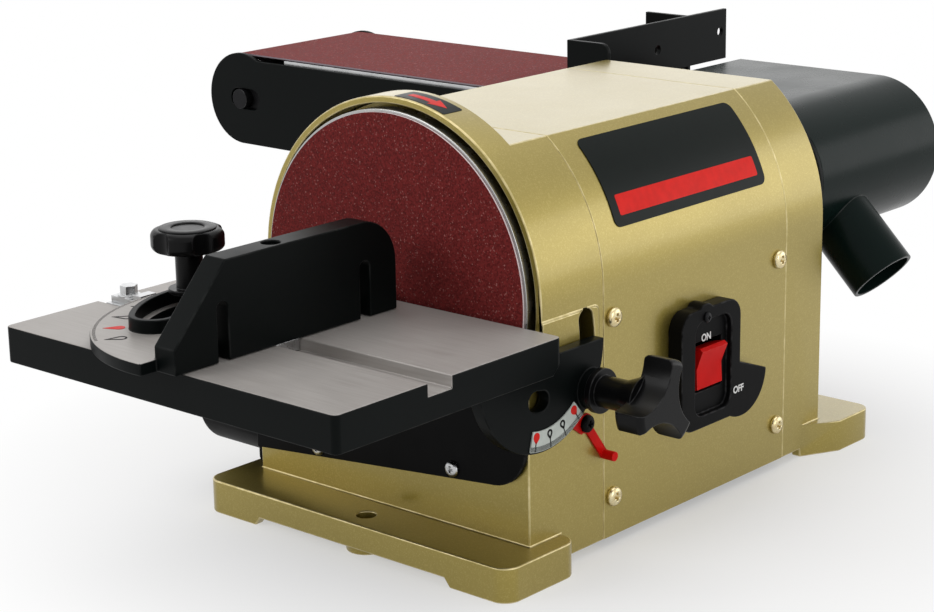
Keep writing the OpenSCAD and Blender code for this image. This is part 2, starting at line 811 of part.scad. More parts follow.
module cover_screws() {
    shank = cover_t + cast_wall;
    ends = [seam1_y + screw_in, seam2_y - screw_in];
    color(steel) for (y = ends, z = [screw_low_z, screw_high_z], s = [-1, 1])
        translate([s * body_r, y, z]) rotate([0, s * 90, 0]) pan_screw(screw_d, screw_head_d, shank);
}

module disc_guard() {
    color(black) difference() {
        along_y(front_y - guard_t, front_y) guard_outline();
        guard_screw_places() bar_y(0, 0, front_y - guard_t - 1, front_y + 1, screw_d + 2 * screw_gap);
    }
}

module guard_screws() {
    color(steel) guard_screw_places() translate([0, front_y - guard_t, 0]) rotate([90, 0, 0])
        pan_screw(screw_d, screw_d * 1.8, guard_t + cast_wall);
}

module dust_spout() {
    flange_t = 3;
    low_z = flange_h + 0.3;
    high_z = spout_z + spout_d / 2 + 1;
    color(black) difference() {
        union() {
            along_x(-body_r - flange_t, -body_r)
                round_box(front_y + 1, low_z, front_y + spout_d + 2, high_z, 5);
            bar_x(spout_y + 1, spout_z, -body_r - spout_len, -body_r, spout_d);
        }
        bar_x(spout_y + 1, spout_z, -body_r - spout_len - 1, 1 - body_r, spout_d - 2 * port_t);
    }
}

// Stator core, its windings as rounded rings at both ends
module stator() {
    y0 = motor_y - stator_len / 2;
    y1 = motor_y + stator_len / 2;
    bore_d = rotor_d + 2 * air_gap;
    slots = 24;
    slot_r = bore_d / 2 + 9;
    color(copper) for (s = [-1, 1]) {
        end_y = s > 0 ? y1 : y0;
        translate([0, end_y, axis_z]) rotate([s > 0 ? -90 : 90, 0, 0]) rotate_extrude() {
            translate([bore_d / 2 + 5, 0]) square([coil_r - bore_d / 2 - 5, coil_reach - 5]);
            translate([bore_d / 2 + 10, 0]) square([coil_r - bore_d / 2 - 15, coil_reach]);
            for (r = [bore_d / 2 + 10, coil_r - 5]) translate([r, coil_reach - 5]) circle(5);
        }
    }
    color(grey) difference() {
        bar_y(0, axis_z, y0, y1, stator_d, bore_d);
        along_y(y0 - 1, y1 + 1) tie_places() circle(d = tie_d + 2 * fit_gap);
        for (i = [0:slots - 1]) along_y(y0 - 1, y1 + 1) translate([0, axis_z])
            rotate(i * 360 / slots) translate([bore_d / 2 - 1, -0.8]) square([slot_r - bore_d / 2, 1.6]);
    }
}

module stator_bolts() {
    color(steel) along_y(bulkhead_back_y, seam2_y) tie_places() circle(d = tie_d);
}

// A ball bearing: its rings and shields as one turned piece
module ball_bearing(x, z, y, w, d, bore) {
    groove = (d - bore) / 8;
    translate([x, y, z]) rotate([-90, 0, 0]) rotate_extrude() difference() {
        translate([bore / 2, 0]) square([(d - bore) / 2, w]);
        for (v = [0, w]) translate([(d + bore) / 4 - groove, v - groove / 2]) square([2 * groove, groove]);
    }
}

module front_bearing() {
    color(steel) ball_bearing(0, axis_z, bearing1_y, bearing_w, bearing_d, shaft_d + 2 * run_gap);
}

module rear_bearing() {
    color(steel) ball_bearing(0, axis_z, bearing2_y, bearing_w, bearing_d, shaft_d + 2 * run_gap);
}

// Run capacitor with its clip, standing on the bottom plate
module capacitor() {
    d = 32;
    len = 62;
    x = -body_r / 2;
    z = cover_z + cover_t + d / 2 + 2;
    color(black) bar_y(x, z, motor_y - len / 2, motor_y + len / 2, d);
    color(steel) along_y(motor_y - 6, motor_y + 6) translate([x, z]) difference() {
        union() {
            circle(d = d + 3);
            translate([-d / 2, -d / 2 - 2]) square([d, d / 2]);
        }
        circle(d = d);
    }
}

// Centre line of the drive belt: two pulleys and their outer tangents, grown by an amount
module drive_loop(grow) {
    r0 = motor_pulley_d / 2 + grow;
    r1 = drum_pulley_d / 2 + grow;
    lean = acos((r0 - r1) / drive_span);
    up = [cos(lean), sin(lean)];
    down = [cos(lean), -sin(lean)];
    far = [drive_span, 0];
    translate([0, axis_z]) rotate(drive_turn) {
        circle(r0);
        translate(far) circle(r1);
        polygon([(r0 - hair) * up, far + (r1 - hair) * up, far + (r1 - hair) * down, (r0 - hair) * down]);
    }
}

module drive_belt() {
    rib_w = rib_pitch / 2;
    color(black) {
        along_y(drive_y, drive_y + drive_w) difference() {
            drive_loop(drive_gap + drive_t);
            drive_loop(drive_gap);
        }
        for (i = [0:rib_n - 1]) {
            y = drive_y + 1 + (i + 0.5) * rib_pitch - rib_w / 2;
            along_y(y, y + rib_w) difference() {
                drive_loop(drive_gap + drive_t / 2);
                drive_loop(drive_gap - rib_h);
            }
        }
    }
}

// A ribbed pulley with a flange at each end
module ribbed_pulley(x, z, d, bore) {
    groove_w = rib_pitch / 2 + 2 * drive_gap;
    groove_d = rib_h;
    difference() {
        bar_y(x, z, drive_y - 1, drive_y + drive_w + 1, d, bore);
        for (i = [0:rib_n - 1]) {
            y = drive_y + 1 + (i + 0.5) * rib_pitch - groove_w / 2;
            bar_y(x, z, y, y + groove_w, d + 2, d - 2 * groove_d);
        }
    }
}

module drum_bearing() {
    color(steel) ball_bearing(drum_x, drum_z, drum_bearing_y(), drum_bearing_w(), drum_bearing_d,
        drum_shaft_d + 2 * run_gap);
}

// Gland in the left side of the rear casting for the mains lead
module cord_gland() {
    y = rear_y - rear_len / 2;
    color(black) difference() {
        union() {
            bar_x(y, gland_z, -body_r - 10, -body_r + cast_wall, gland_d);
            bar_x(y, gland_z, -body_r - 3, -body_r, gland_d + 6);
        }
        bar_x(y, gland_z, -body_r - 11, -body_r + cast_wall + 1, gland_d / 2);
    }
}

// The switch's plate in Y and Z: a round cornered tablet, a bump on top and a finger lobe low on one side
module switch_outline() {
    corner = 9;
    shift = -1.5;
    lobe_r = 20;
    lobe_slope = 20;
    bump_r = 6.6;
    round_box(shift - switch_w / 2, -switch_h / 2, shift + switch_w / 2, switch_h / 2, corner);
    translate([switch_bump_y, switch_bump_z]) circle(bump_r);
    difference() {
        translate([switch_w / 2, 2 * corner - switch_h / 2]) circle(lobe_r);
        translate([switch_w / 2, -4]) rotate(-lobe_slope) translate([-switch_w, 0])
            square([3 * switch_w, switch_h]);
        translate([-lobe_r, -switch_h]) square([lobe_r + switch_w / 2 - lobe_r / 2, 2 * switch_h]);
    }
}

module switch_plate() {
    step = 3;
    win_w = rocker_w + 2 * slide_gap;
    win_h = rocker_h + 2 * slide_gap;
    color(black) difference() {
        union() {
            along_x(body_r, body_r + switch_t) translate([switch_mid_y, switch_z]) switch_outline();
            along_x(body_r - 14, body_r) translate([switch_mid_y, switch_z])
                square([rocker_w + 3.6, rocker_h + 3.6], center = true);
        }
        along_x(body_r - 12, body_r + switch_t + 1) translate([switch_mid_y, switch_z])
            square([win_w, win_h], center = true);
        along_x(body_r + switch_t - step, body_r + switch_t + 1) translate([switch_mid_y, switch_z])
            round_box(-win_w / 2 - 4, -switch_h / 2 + 6, win_w / 2 + 4, switch_h / 2 - 6, 6);
        bar_y(rocker_x - 5, switch_z, switch_mid_y - win_w / 2 - 1.5, switch_mid_y + win_w / 2 + 1.5,
            axle_pin_d + 2 * run_gap);
    }
}

axle_pin_d = 4;

// Rocker with a valley across its face, resting with its lower half pressed in
module switch_rocker() {
    face = 4.5;
    valley = 2;
    half = rocker_h / 2 - 1;
    axle_len = rocker_w + 2.4;
    color(red) translate([rocker_x - 5, switch_mid_y, switch_z]) rotate([0, rocker_tilt, 0]) {
        rotate([90, 0, 0]) translate([0, 0, -rocker_w / 2]) linear_extrude(rocker_w)
            polygon([[-3, -half * 0.7], [face, -half], [face + 2, -half * 0.9], [face + 2 - valley, 0],
                [face + 2, half * 0.9], [face, half], [-3, half * 0.7]]);
        rotate([90, 0, 0]) cylinder(d = axle_pin_d, h = axle_len, center = true);
    }
}

module pivot_pins() {
    head_d = pin_d + 5;
    x0 = body_r - cast_wall;
    head_x = trunnion_out_x + slide_gap;
    end_x = head_x + pin_head_t;
    color(steel) for (s = [-1, 1]) {
        bar_x(pivot_y, pivot_z, s > 0 ? x0 : -end_x, s > 0 ? end_x : -x0, pin_d);
        bar_x(pivot_y, pivot_z, s > 0 ? head_x : -end_x, s > 0 ? end_x : -head_x, head_d);
    }
}

// Stud from the right trunnion through the housing's arc slot, with a flat head inside the wall
module lock_stud() {
    head_t = 3;
    head_x = wall_in_x - slide_gap;
    color(steel) {
        bar_x(stud_y, stud_z, head_x - head_t, stud_end_x(), stud_d);
        bar_x(stud_y, stud_z, head_x - head_t, head_x, stud_d * 1.7);
    }
}

function lock_knob_x() = boss_x + slide_gap;
function stud_end_x() = lock_knob_x() + lock_neck;

// A point round the tilt axis, its angle measured from straight down towards the belt
function round_pivot(r, a) = [pivot_y + r * sin(a), pivot_z - r * cos(a)];

// Red pointer on the housing's wall, its tip at the scale's rim and its tail turned outwards
module tilt_pointer() {
    tip = round_pivot(trunnion_r + 2, 33);
    screw = round_pivot(trunnion_r + pointer_out, pointer_turn);
    tail = round_pivot(trunnion_r + 34, pointer_turn - 2);
    half_w = 4.5;
    tail_w = 2.2;
    color(red) {
        along_x(body_r, body_r + pointer_t) difference() {
            union() {
                polygon([tip, screw + [1, half_w], screw + [half_w, 0], screw + [-3, -half_w]]);
                translate(screw) circle(half_w);
                link(screw, tail, tail_w);
            }
            translate(screw) circle(d = screw_d + 2 * screw_gap);
        }
        along_x(body_r, body_r + 7) translate(tail) circle(tail_w);
    }
}

pointer_out = 12.5;
pointer_turn = 43;
pointer_t = 1;

module pointer_screw() {
    p = round_pivot(trunnion_r + pointer_out, pointer_turn);
    color(dark) translate([body_r + pointer_t, p[0], p[1]]) rotate([0, 90, 0]) pan_screw(screw_d, 8, pointer_t);
}

module disc_plate() {
    rim_r = disc_d / 2 + plate_rim;
    color(steel) difference() {
        union() {
            translate([0, plate_y, axis_z]) rotate([-90, 0, 0]) rotate_extrude() {
                square([rim_r, plate_t - 1]);
                square([rim_r - 1, plate_t]);
            }
            bar_y(0, axis_z, hub_y - 1, hub_y + hub_len, hub_d);
        }
        bar_y(0, axis_z, plate_y + 3, hub_y + hub_len + 1, shaft_d);
    }
}

module sanding_disc() {
    color(grit) bar_y(0, axis_z, disc_y, plate_y, disc_d);
}

module motor_shaft() {
    color(steel) bar_y(0, axis_z, plate_y + 3, drive_y + drive_w + 1.5, shaft_d);
}

// Rotor core with its two end rings
module rotor() {
    core = stator_len + 2;
    ring = 5;
    color(grey) {
        bar_y(0, axis_z, motor_y - core / 2, motor_y + core / 2, rotor_d, shaft_d);
        for (y = [motor_y - core / 2 - ring, motor_y + core / 2])
            bar_y(0, axis_z, y, y + ring, rotor_d - 4, rotor_d - 20);
    }
}

module cooling_fan() {
    hub = 30;
    disc_t = 2;
    color(dark) {
        bar_y(0, axis_z, fan_y, fan_y + fan_w, hub, shaft_d);
        bar_y(0, axis_z, fan_y, fan_y + disc_t, fan_d, shaft_d);
        for (i = [0:fan_blades - 1]) along_y(fan_y, fan_y + fan_w) translate([0, axis_z])
            rotate(i * 360 / fan_blades) translate([hub / 2 - 1, -1]) square([(fan_d - hub) / 2 + 0.5, 2]);
    }
}

module motor_pulley() {
    color(grey) ribbed_pulley(0, axis_z, motor_pulley_d, shaft_d);
}

module drum_pulley() {
    color(grey) ribbed_pulley(drum_x, drum_z, drum_pulley_d, drum_shaft_d);
}

// Drum with its webbed ends, turned as one piece
module drive_drum() {
    y0 = belt_y + 1;
    y1 = belt_y + belt_w - 1;
    rim = 5;
    web = 8;
    hub = drum_shaft_d + 12;
    color(dark) {
        difference() {
            bar_y(drum_x, drum_z, y0, y1, roller_d, drum_shaft_d);
            for (y = [y0 - 1, y1 - web]) bar_y(drum_x, drum_z, y, y + web + 1, roller_d - 2 * rim, hub);
        }
    }
}

module drum_shaft() {
    color(steel) bar_y(drum_x, drum_z, drive_y - 1.5, arm_back_y - 0.3, drum_shaft_d);
}

// Outline shared by both side plates in X and Z
module side_outline(hood_side) {
    bar_top = belt_r - side_drop;
    bar_low = nose_r - hair;
    translate([idler_x, drum_z - bar_low]) square([belt_span, bar_low + bar_top]);
    translate([idler_x, drum_z]) circle(nose_r);
    translate([drum_x, drum_z]) circle(hood_side);
    translate([drum_x - hood_len, drum_z]) square([hood_len, hood_side]);
}

// The pivot's hole and the slot for the idler's axle
module side_cuts(pivot) {
    translate([drum_x, drum_z]) circle(d = pivot);
    link([idler_x - axle_d / 4, drum_z], [idler_x + slack_travel + axle_d / 4, drum_z], axle_d / 2 + 0.2);
}

module front_side_plate() {
    color(black) along_y(arm_y, arm_in_y) difference() {
        side_outline(hood_r);
        side_cuts(pivot_d + 2 * run_gap);
    }
}

module rear_side_plate() {
    color(black) along_y(arm_out_y, arm_back_y) difference() {
        side_outline(hood_r - hood_t - fit_gap);
        side_cuts(drum_shaft_d + 2 * run_gap);
        translate([lever_x, lever_z]) circle(d = lever_d + 2 * run_gap);
        translate([tracking_x, lever_z]) circle(d = tracking_d + 2 * run_gap);
        stop_screw_places() circle(d = screw_d + 2 * screw_gap);
    }
}

lever_d = 10;
tracking_d = 8;

// Platen: a channel under the belt, folded down against both side plates
module platen() {
    top_z = drum_z + belt_in_r - belt_gap;
    x0 = drum_x - platen_start - platen_len;
    color(steel) {
        translate([x0, arm_in_y, top_z - platen_t]) cube([platen_len, arm_out_y - arm_in_y, platen_t]);
        for (y = [arm_in_y, arm_out_y - platen_t])
            translate([x0, y, top_z - platen_fold]) cube([platen_len, platen_t, platen_fold]);
    }
}

module spacer_tubes() {
    x0 = lever_x + tube_gap;
    pitch = (drum_x - roller_d - x0) / 2;
    color(steel) for (i = [0:2])
        bar_y(x0 + i * pitch, lever_z, arm_in_y, arm_out_y, spacer_d, spacer_d / 2);
}

// The hood's outline in X and Z about the drum's axis, grown inwards by an inset
module hood_outline(inset) {
    circle(hood_r - inset);
    translate([-hood_len, 0]) square([hood_len, hood_r - inset]);
}

module belt_hood() {
    wall_y = arm_back_y + hood_t;
    port_mid_y = arm_in_y + port_y;
    open_x = 6;
    color(black) difference() {
        union() {
            along_y(arm_in_y, arm_back_y) translate([drum_x, drum_z]) difference() {
                hood_outline(0);
                hood_outline(hood_t);
                translate([-2 * hood_len, -2 * hood_r])
                    square([2 * hood_len - open_x, 2 * hood_r + belt_r - side_drop]);
            }
            along_y(arm_back_y, wall_y) translate([drum_x, drum_z]) difference() {
                hood_outline(0);
                translate([-2 * hood_len, -2 * hood_r]) square([2 * hood_len - open_x, 2 * hood_r]);
            }
            dust_port(port_mid_y) cylinder(d = port_d, h = port_reach - hood_r + hood_t + 4);
        }
        dust_port(port_mid_y) translate([0, 0, -2])
            cylinder(d = port_d - 2 * port_t, h = port_reach);
        bar_y(drum_x, drum_z, arm_in_y - 1, arm_back_y, 2 * (hood_r - hood_t));
        hood_screw_places() bar_y(0, 0, arm_back_y - 1, wall_y + 1, screw_d + 2 * screw_gap);
    }
}

// Places a piece along the dust port, starting just inside the hood's wall
module dust_port(y) {
    translate([drum_x, y, drum_z]) rotate([0, 90 + port_angle, 0])
        translate([0, 0, hood_r - hood_t - 4]) children();
}

module hood_screw_places() {
    for (x = hood_screw_x) translate([x, 0, hood_screw_z]) children();
}

module hood_screws() {
    color(steel) hood_screw_places() translate([0, arm_back_y + hood_t, 0]) rotate([-90, 0, 0])
        pan_screw(screw_d, 7, hood_t);
}

module stop_screw_places() {
    for (z = stop_screw_z) translate([stop_screw_x, z]) children();
}

// Work stop: a plate across the belt, folded at the front and tabbed onto the rear side plate
module work_stop() {
    low_z = drum_z + belt_r + stop_gap;
    x = drum_x - stop_x;
    front = belt_y + belt_gap;
    fold_r = 5;
    tab_z = drum_z - belt_in_r + 2;
    holes = [[stop_len * 0.54, stop_h * 0.46], [stop_len - stop_hole_d - 1, stop_h * 0.56]];
    color(black) difference() {
        union() {
            translate([x - stop_t, front, low_z]) cube([stop_t, stop_len, stop_h]);
            along_y(front, front + stop_t) difference() {
                translate([x - stop_t, low_z]) square([stop_fold + stop_t, stop_h]);
                translate([x + stop_fold - fold_r, low_z + stop_h - fold_r]) difference() {
                    square(2 * fold_r);
                    circle(fold_r);
                }
            }
            along_y(arm_back_y, arm_back_y + stop_t) translate([x - stop_tab, tab_z])
                square([stop_tab, low_z + stop_h - tab_z]);
        }
        for (h = holes) bar_x(front + h[0], low_z + h[1], x - stop_t - 1, x + 1, stop_hole_d);
        along_y(arm_back_y - 1, arm_back_y + stop_t + 1)
            stop_screw_places() circle(d = screw_d + 2 * screw_gap);
    }
}

module stop_screws() {
    color(steel) for (z = stop_screw_z) translate([stop_screw_x, arm_back_y + stop_t, z])
        rotate([-90, 0, 0]) pan_screw(screw_d, 2 * screw_d, stop_t + side_t);
}

// Sanding belt: one loop round the drum and the idler
module belt_loop_outline(r) {
    link([idler_x, drum_z], [drum_x, drum_z], r);
}

module sanding_belt() {
    color(grit) along_y(belt_y, belt_y + belt_w) difference() {
        belt_loop_outline(belt_r);
        belt_loop_outline(belt_in_r);
    }
}

// Fork that carries the idler's axle and slides when the belt is slackened
module idler_fork() {
    color(dark) difference() {
        union() {
            for (y = [fork_y, fork_back_y - fork_t]) along_y(y, y + fork_t) {
                translate([idler_x, drum_z]) circle(d = fork_h + 2 * fork_t);
                translate([idler_x, drum_z - fork_h / 2]) square([fork_len, fork_h]);
            }
            translate([fork_end_x - fork_bar_w, fork_y, drum_z - fork_h / 2])
                cube([fork_bar_w, fork_back_y - fork_y, fork_h]);
        }
        bar_y(idler_x, drum_z, fork_y - 1, fork_back_y + 1, axle_d);
    }
}

// Axle of the idler, held in the fork, its ends in the side plates' slots
module idler_axle() {
    color(dark) bar_y(idler_x, drum_z, arm_y - axle_out, arm_back_y + axle_out, axle_d);
}

axle_out = 2;

// Idler roller with a slight crown that keeps the belt on its track
module idler_roller() {
    y0 = fork_y + fork_t + slide_gap;
    y1 = fork_back_y - fork_t - slide_gap;
    crown = 0.4;
    r = roller_d / 2;
    mid = (y1 - y0) / 2;
    bore = axle_d / 2 + run_gap;
    color(dark) translate([idler_x, y0, drum_z]) rotate([-90, 0, 0]) rotate_extrude()
        polygon([[bore, 0], [r - crown, 0], [r, mid - 15], [r, mid + 15], [r - crown, 2 * mid],
            [bore, 2 * mid]]);
}

// Tension lever: a shaft through the rear side plate with a cam against the fork and a handle outside
module tension_lever() {
    handle_y = arm_back_y + slide_gap;
    handle_r = 7;
    hub_r = 11;
    cam_y = arm_out_y - platen_t - 1 - cam_t;
    throw = slack_travel / 2;
    color(dark) {
        bar_y(lever_x, lever_z, cam_y, handle_y + cam_t, lever_d);
        along_y(cam_y, cam_y + cam_t) translate([lever_x - throw, lever_z + throw]) circle(cam_r);
        along_y(handle_y, handle_y + cam_t) {
            link([lever_x, lever_z], [lever_x + handle_len, lever_z], handle_r);
            translate([lever_x, lever_z]) circle(hub_r);
        }
    }
}

// Tracking knob: a short screw against the idler fork with a lobed head
module tracking_knob() {
    head_y = arm_back_y + 3;
    r = tracking_r;
    color(dark) {
        bar_y(tracking_x, lever_z, fork_back_y + slide_gap, head_y + 2, tracking_d);
        translate([tracking_x, head_y, lever_z]) rotate([-90, 0, 0]) intersection() {
            blank(r, r, 2);
            linear_extrude(r) lobes(r, 6, r * 0.36, r * 1.22);
        }
    }
}

// Table: ribbed casting with a mitre slot, a skirt on three sides and a bevel beside the disc
module table() {
    rib_h = skirt_h - 4;
    rib_w = slot_w + 12;
    corner = 3;
    bevel = 7;
    pocket_y = table_back_y - 26;
    color(grey) difference() {
        translate([0, 0, table_z - skirt_h]) linear_extrude(skirt_h)
            round_box(-table_x, table_front_y, table_x, table_back_y, corner);
        difference() {
            translate([skirt_t - table_x, table_front_y + skirt_t, table_z - skirt_h - 1])
                cube([table_w - 2 * skirt_t, table_depth, skirt_h - table_t + 1]);
            translate([-table_x, slot_mid_y - rib_w / 2, table_z - rib_h]) cube([table_w, rib_w, rib_h]);
            for (x = [-table_x / 2, 0, table_x / 2]) translate([x - 2, table_front_y, table_z - rib_h])
                cube([4, pocket_y - table_front_y, rib_h]);
        }
        translate([-table_x - 1, slot_mid_y - slot_w / 2, slot_floor_z])
            cube([table_w + 2, slot_w, slot_d + 1]);
        for (s = [-1, 1]) trunnion_space(s);
        along_x(-table_x - 1, table_x + 1) polygon([[table_back_y + 1, table_z - skirt_h - 1],
            [table_back_y + 1, pivot_z + 1], [table_back_y - bevel, table_z - skirt_h - 1]]);
    }
}

// Space for a trunnion and its foot under the table
module trunnion_space(s) {
    x0 = trunnion_out_x - trunnion_foot_w - trunnion_room;
    w = trunnion_foot_w + 2 * trunnion_room;
    y0 = pivot_y - trunnion_foot_len - trunnion_room;
    translate([s > 0 ? x0 : -x0 - w, y0, table_z - skirt_h - 1])
        cube([w, table_back_y - y0 + 1, skirt_h - table_t + 1]);
}

// Trunnion's outline in Y and Z: the part of a disc that lies under the table
module trunnion_outline(r) {
    translate([pivot_y, pivot_z]) {
        intersection() {
            circle(r);
            translate([-r, -r]) square([2 * r, r]);
        }
        intersection() {
            circle(r);
            translate([-r, -1]) square([r - trunnion_step, pivot_drop - table_t + 1]);
        }
        circle(ear_r);
    }
}

// Arm from the tilt axis to the lock stud, behind the table
module lock_arm() {
    pivot = [pivot_y, pivot_z];
    stud = [stud_y, stud_z];
    across = [sin(lock_angle), cos(lock_angle)];
    arm_r = ear_r - 2 * hair;
    translate(stud) circle(lock_boss_r);
    polygon([pivot + arm_r * across, stud + (lock_boss_r - 2 * hair) * across, stud - arm_r * across,
        pivot - arm_r * across]);
}

trunnion_step = 7;
window_turn = -99;

// Foot of a trunnion that is screwed under the table, between the slot's rib and the disc
module trunnion_foot(x) {
    y0 = pivot_y - trunnion_foot_len;
    translate([x, y0, table_low_z - trunnion_foot_t])
        cube([trunnion_foot_w, trunnion_foot_len - 14, trunnion_foot_t]);
}

trunnion_foot_len = 50;
trunnion_foot_w = 12;
trunnion_foot_t = 5;

module right_trunnion() {
    color(dark) difference() {
        union() {
            along_x(trunnion_x, trunnion_out_x) {
                trunnion_outline(trunnion_r);
                lock_arm();
            }
            bar_x(stud_y, stud_z, trunnion_x, boss_x, 2 * lock_boss_r);
            trunnion_foot(trunnion_out_x - trunnion_foot_w);
        }
        bar_x(pivot_y, pivot_z, trunnion_x - 1, trunnion_out_x + 1, pin_d + 2 * run_gap);
        bar_x(stud_y, stud_z, trunnion_x - 1, boss_x + 1, stud_d);
        along_x(trunnion_x - 1, trunnion_out_x + 1) translate([pivot_y, pivot_z])
            arc_slot(window_r, window_w, window_turn - 7, window_turn + 7);
        trunnion_screw_places(1) cylinder(d = screw_d + 2 * screw_gap, h = 3 * trunnion_foot_t, center = true);
    }
}

module left_trunnion() {
    color(dark) difference() {
        union() {
            along_x(-trunnion_out_x, -trunnion_x) trunnion_outline(left_trunnion_r);
            trunnion_foot(-trunnion_out_x);
        }
        bar_x(pivot_y, pivot_z, -trunnion_out_x - 1, 1 - trunnion_x, pin_d + 2 * run_gap);
        trunnion_screw_places(-1) cylinder(d = screw_d + 2 * screw_gap, h = 3 * trunnion_foot_t, center = true);
    }
}

module trunnion_screw_places(s) {
    x = s * (trunnion_out_x - trunnion_foot_w + 3);
    for (y = [pivot_y - trunnion_foot_len + 5, pivot_y - 22]) translate([x, y, table_low_z - trunnion_foot_t])
        children();
}

module trunnion_screws() {
    color(steel) for (s = [-1, 1]) trunnion_screw_places(s) rotate([180, 0, 0])
        pan_screw(screw_d, screw_d * 1.4, trunnion_foot_t);
}

scale_turn = 40;

// Tilt scale: a thin arc on the right trunnion's face
module tilt_scale() {
    color(white) along_x(trunnion_out_x, trunnion_out_x + scale_t) translate([pivot_y, pivot_z])
        rotate(-90) sector(scale_r0, scale_r1, scale_turn - tilt_max - 9, scale_turn);
}

lock_turn = -18;

// Table lock knob: a flange, a long neck and a head of three arms
module lock_knob() {
    flange_d = 2 * lock_boss_r + 2;
    flange_t = 3;
    head_x = lock_knob_x() + lock_neck - 2;
    color(black) difference() {
        union() {
            bar_x(stud_y, stud_z, lock_knob_x(), lock_knob_x() + flange_t, flange_d);
            bar_x(stud_y, stud_z, lock_knob_x(), head_x + 2, lock_neck_d);
            translate([head_x - 8, stud_y, stud_z]) rotate([0, 90, 0])
                cylinder(d1 = lock_neck_d, d2 = lock_neck_d + 8, h = 10);
            translate([head_x, stud_y, stud_z]) rotate([90, 0, 90]) intersection() {
                blank(lock_knob_r, lock_head, 3);
                linear_extrude(lock_head) rotate(lock_turn)
                    lobes(lock_knob_r, 3, lock_knob_r * 0.98, lock_knob_r * 1.33);
            }
        }
        bar_x(stud_y, stud_z, lock_knob_x() - 1, stud_end_x() + slide_gap, stud_d + 2 * run_gap);
    }
}

// Mitre bar with its swivel pin
module mitre_bar() {
    w = slot_w - 2 * slide_gap;
    z0 = slot_floor_z + slide_gap;
    color(steel) {
        translate([-bar_left, slot_mid_y - w / 2, z0]) cube([bar_left + bar_right, w, table_z - z0]);
        translate([0, slot_mid_y, z0]) cylinder(d = pin_d, h = head_top_z - z0);
        translate([-arc_r, slot_mid_y, z0]) cylinder(d = clamp_d, h = knob_z + mitre_stem - 1 - z0);
    }
}

// Index block on the bar's left end, just outside the protractor's rim, with its screw
module mitre_pointer() {
    x0 = -bar_left + 1;
    x1 = -protractor_r - 1;
    w = 9;
    top = plate_top_z;
    color(steel) {
        translate([x0, slot_mid_y - w / 2, table_z]) cube([x1 - x0, w, 3]);
        translate([x1 - 5, slot_mid_y - w / 2, table_z]) cube([5, w, top - table_z]);
        translate([(x0 + x1) / 2 - 3, slot_mid_y, table_z + 3]) {
            cylinder(d = 10, h = 1);
            translate([0, 0, 1]) cylinder(d = 8, h = 4, $fn = 6);
        }
    }
}

// Fence's outline in Y and Z: a long slope in front, a level top and a round corner beside the disc
module fence_outline() {
    h = fence_len / 2;
    corner = [h - fence_r, fence_h - fence_r];
    difference() {
        union() {
            polygon([[-h, 0], [h, 0], [h, corner[1]], corner, [corner[0], fence_h],
                [fence_slope - h, fence_h], [-h, fence_end]]);
            translate(corner) circle(fence_r);
        }
        for (y = [fence_slot_front - h, h - fence_slot_rear]) fence_slot(y);
    }
}

// A screw slot in the fence, open at the bottom and round at the top
module fence_slot(y) {
    top = fence_slot_h - fence_slot_w / 2;
    translate([y - fence_slot_w / 2 + hair, -1]) square([fence_slot_w - 2 * hair, top + 1]);
    translate([y, top]) circle(d = fence_slot_w);
}

// Mitre head: protractor plate, raised wall round the clamp's slot, hub and fence in one casting
module mitre_head() {
    hold_d = 8;
    hold_depth = 20;
    sweep = mitre_max + 2;
    hub = 26;
    color(dark) difference() {
        union() {
            translate([0, slot_mid_y, head_z]) linear_extrude(protractor_t) intersection() {
                circle(protractor_r);
                translate([-protractor_r, -protractor_r])
                    square([protractor_r + fence_x + 1, 2 * protractor_r]);
            }
            translate([0, slot_mid_y, head_z]) linear_extrude(protractor_t + arc_rise)
                arc_slot(arc_r, arc_w, 180 - sweep, 180 + sweep);
            translate([0, slot_mid_y, head_z]) cylinder(d = hub, h = protractor_t + arc_rise);
            translate([0, fence_mid_y, head_z]) along_x(fence_x, fence_x + fence_t) fence_outline();
        }
        translate([0, slot_mid_y, head_z - 1]) {
            cylinder(d = pin_d + 2 * run_gap, h = protractor_t + arc_rise + 2);
            linear_extrude(protractor_t + arc_rise + 2)
                arc_slot(arc_r, clamp_d + 2 * stud_gap, 180 - sweep, 180 + sweep);
            translate([0, 0, protractor_t + 1]) linear_extrude(arc_rise + 1)
                arc_slot(arc_r, arc_w - 2 * arc_wall, 180 - sweep, 180 + sweep);
        }
        translate([fence_x + fence_t / 2, fence_mid_y - 4, head_z + fence_h - hold_depth])
            cylinder(d = hold_d, h = hold_depth + 1);
    }
}

// Mitre knob on the clamp's screw: a collar that bears on the raised wall, a stem and a lobed head
module mitre_knob() {
    z1 = knob_z + mitre_stem;
    color(black) translate([-arc_r, slot_mid_y, 0]) difference() {
        union() {
            translate([0, 0, knob_z]) cylinder(d = arc_w - arc_wall, h = 2);
            translate([0, 0, knob_z]) cylinder(d = mitre_stem_d, h = mitre_stem + 1);
            translate([0, 0, z1]) intersection() {
                blank(mitre_knob_r, mitre_knob_h, 3);
                linear_extrude(mitre_knob_h) lobes(mitre_knob_r, 5, mitre_knob_r * 0.42, mitre_knob_r * 1.26);
            }
        }
        translate([0, 0, knob_z - 1]) cylinder(d = clamp_d + 2 * run_gap, h = mitre_stem + 1);
    }
}

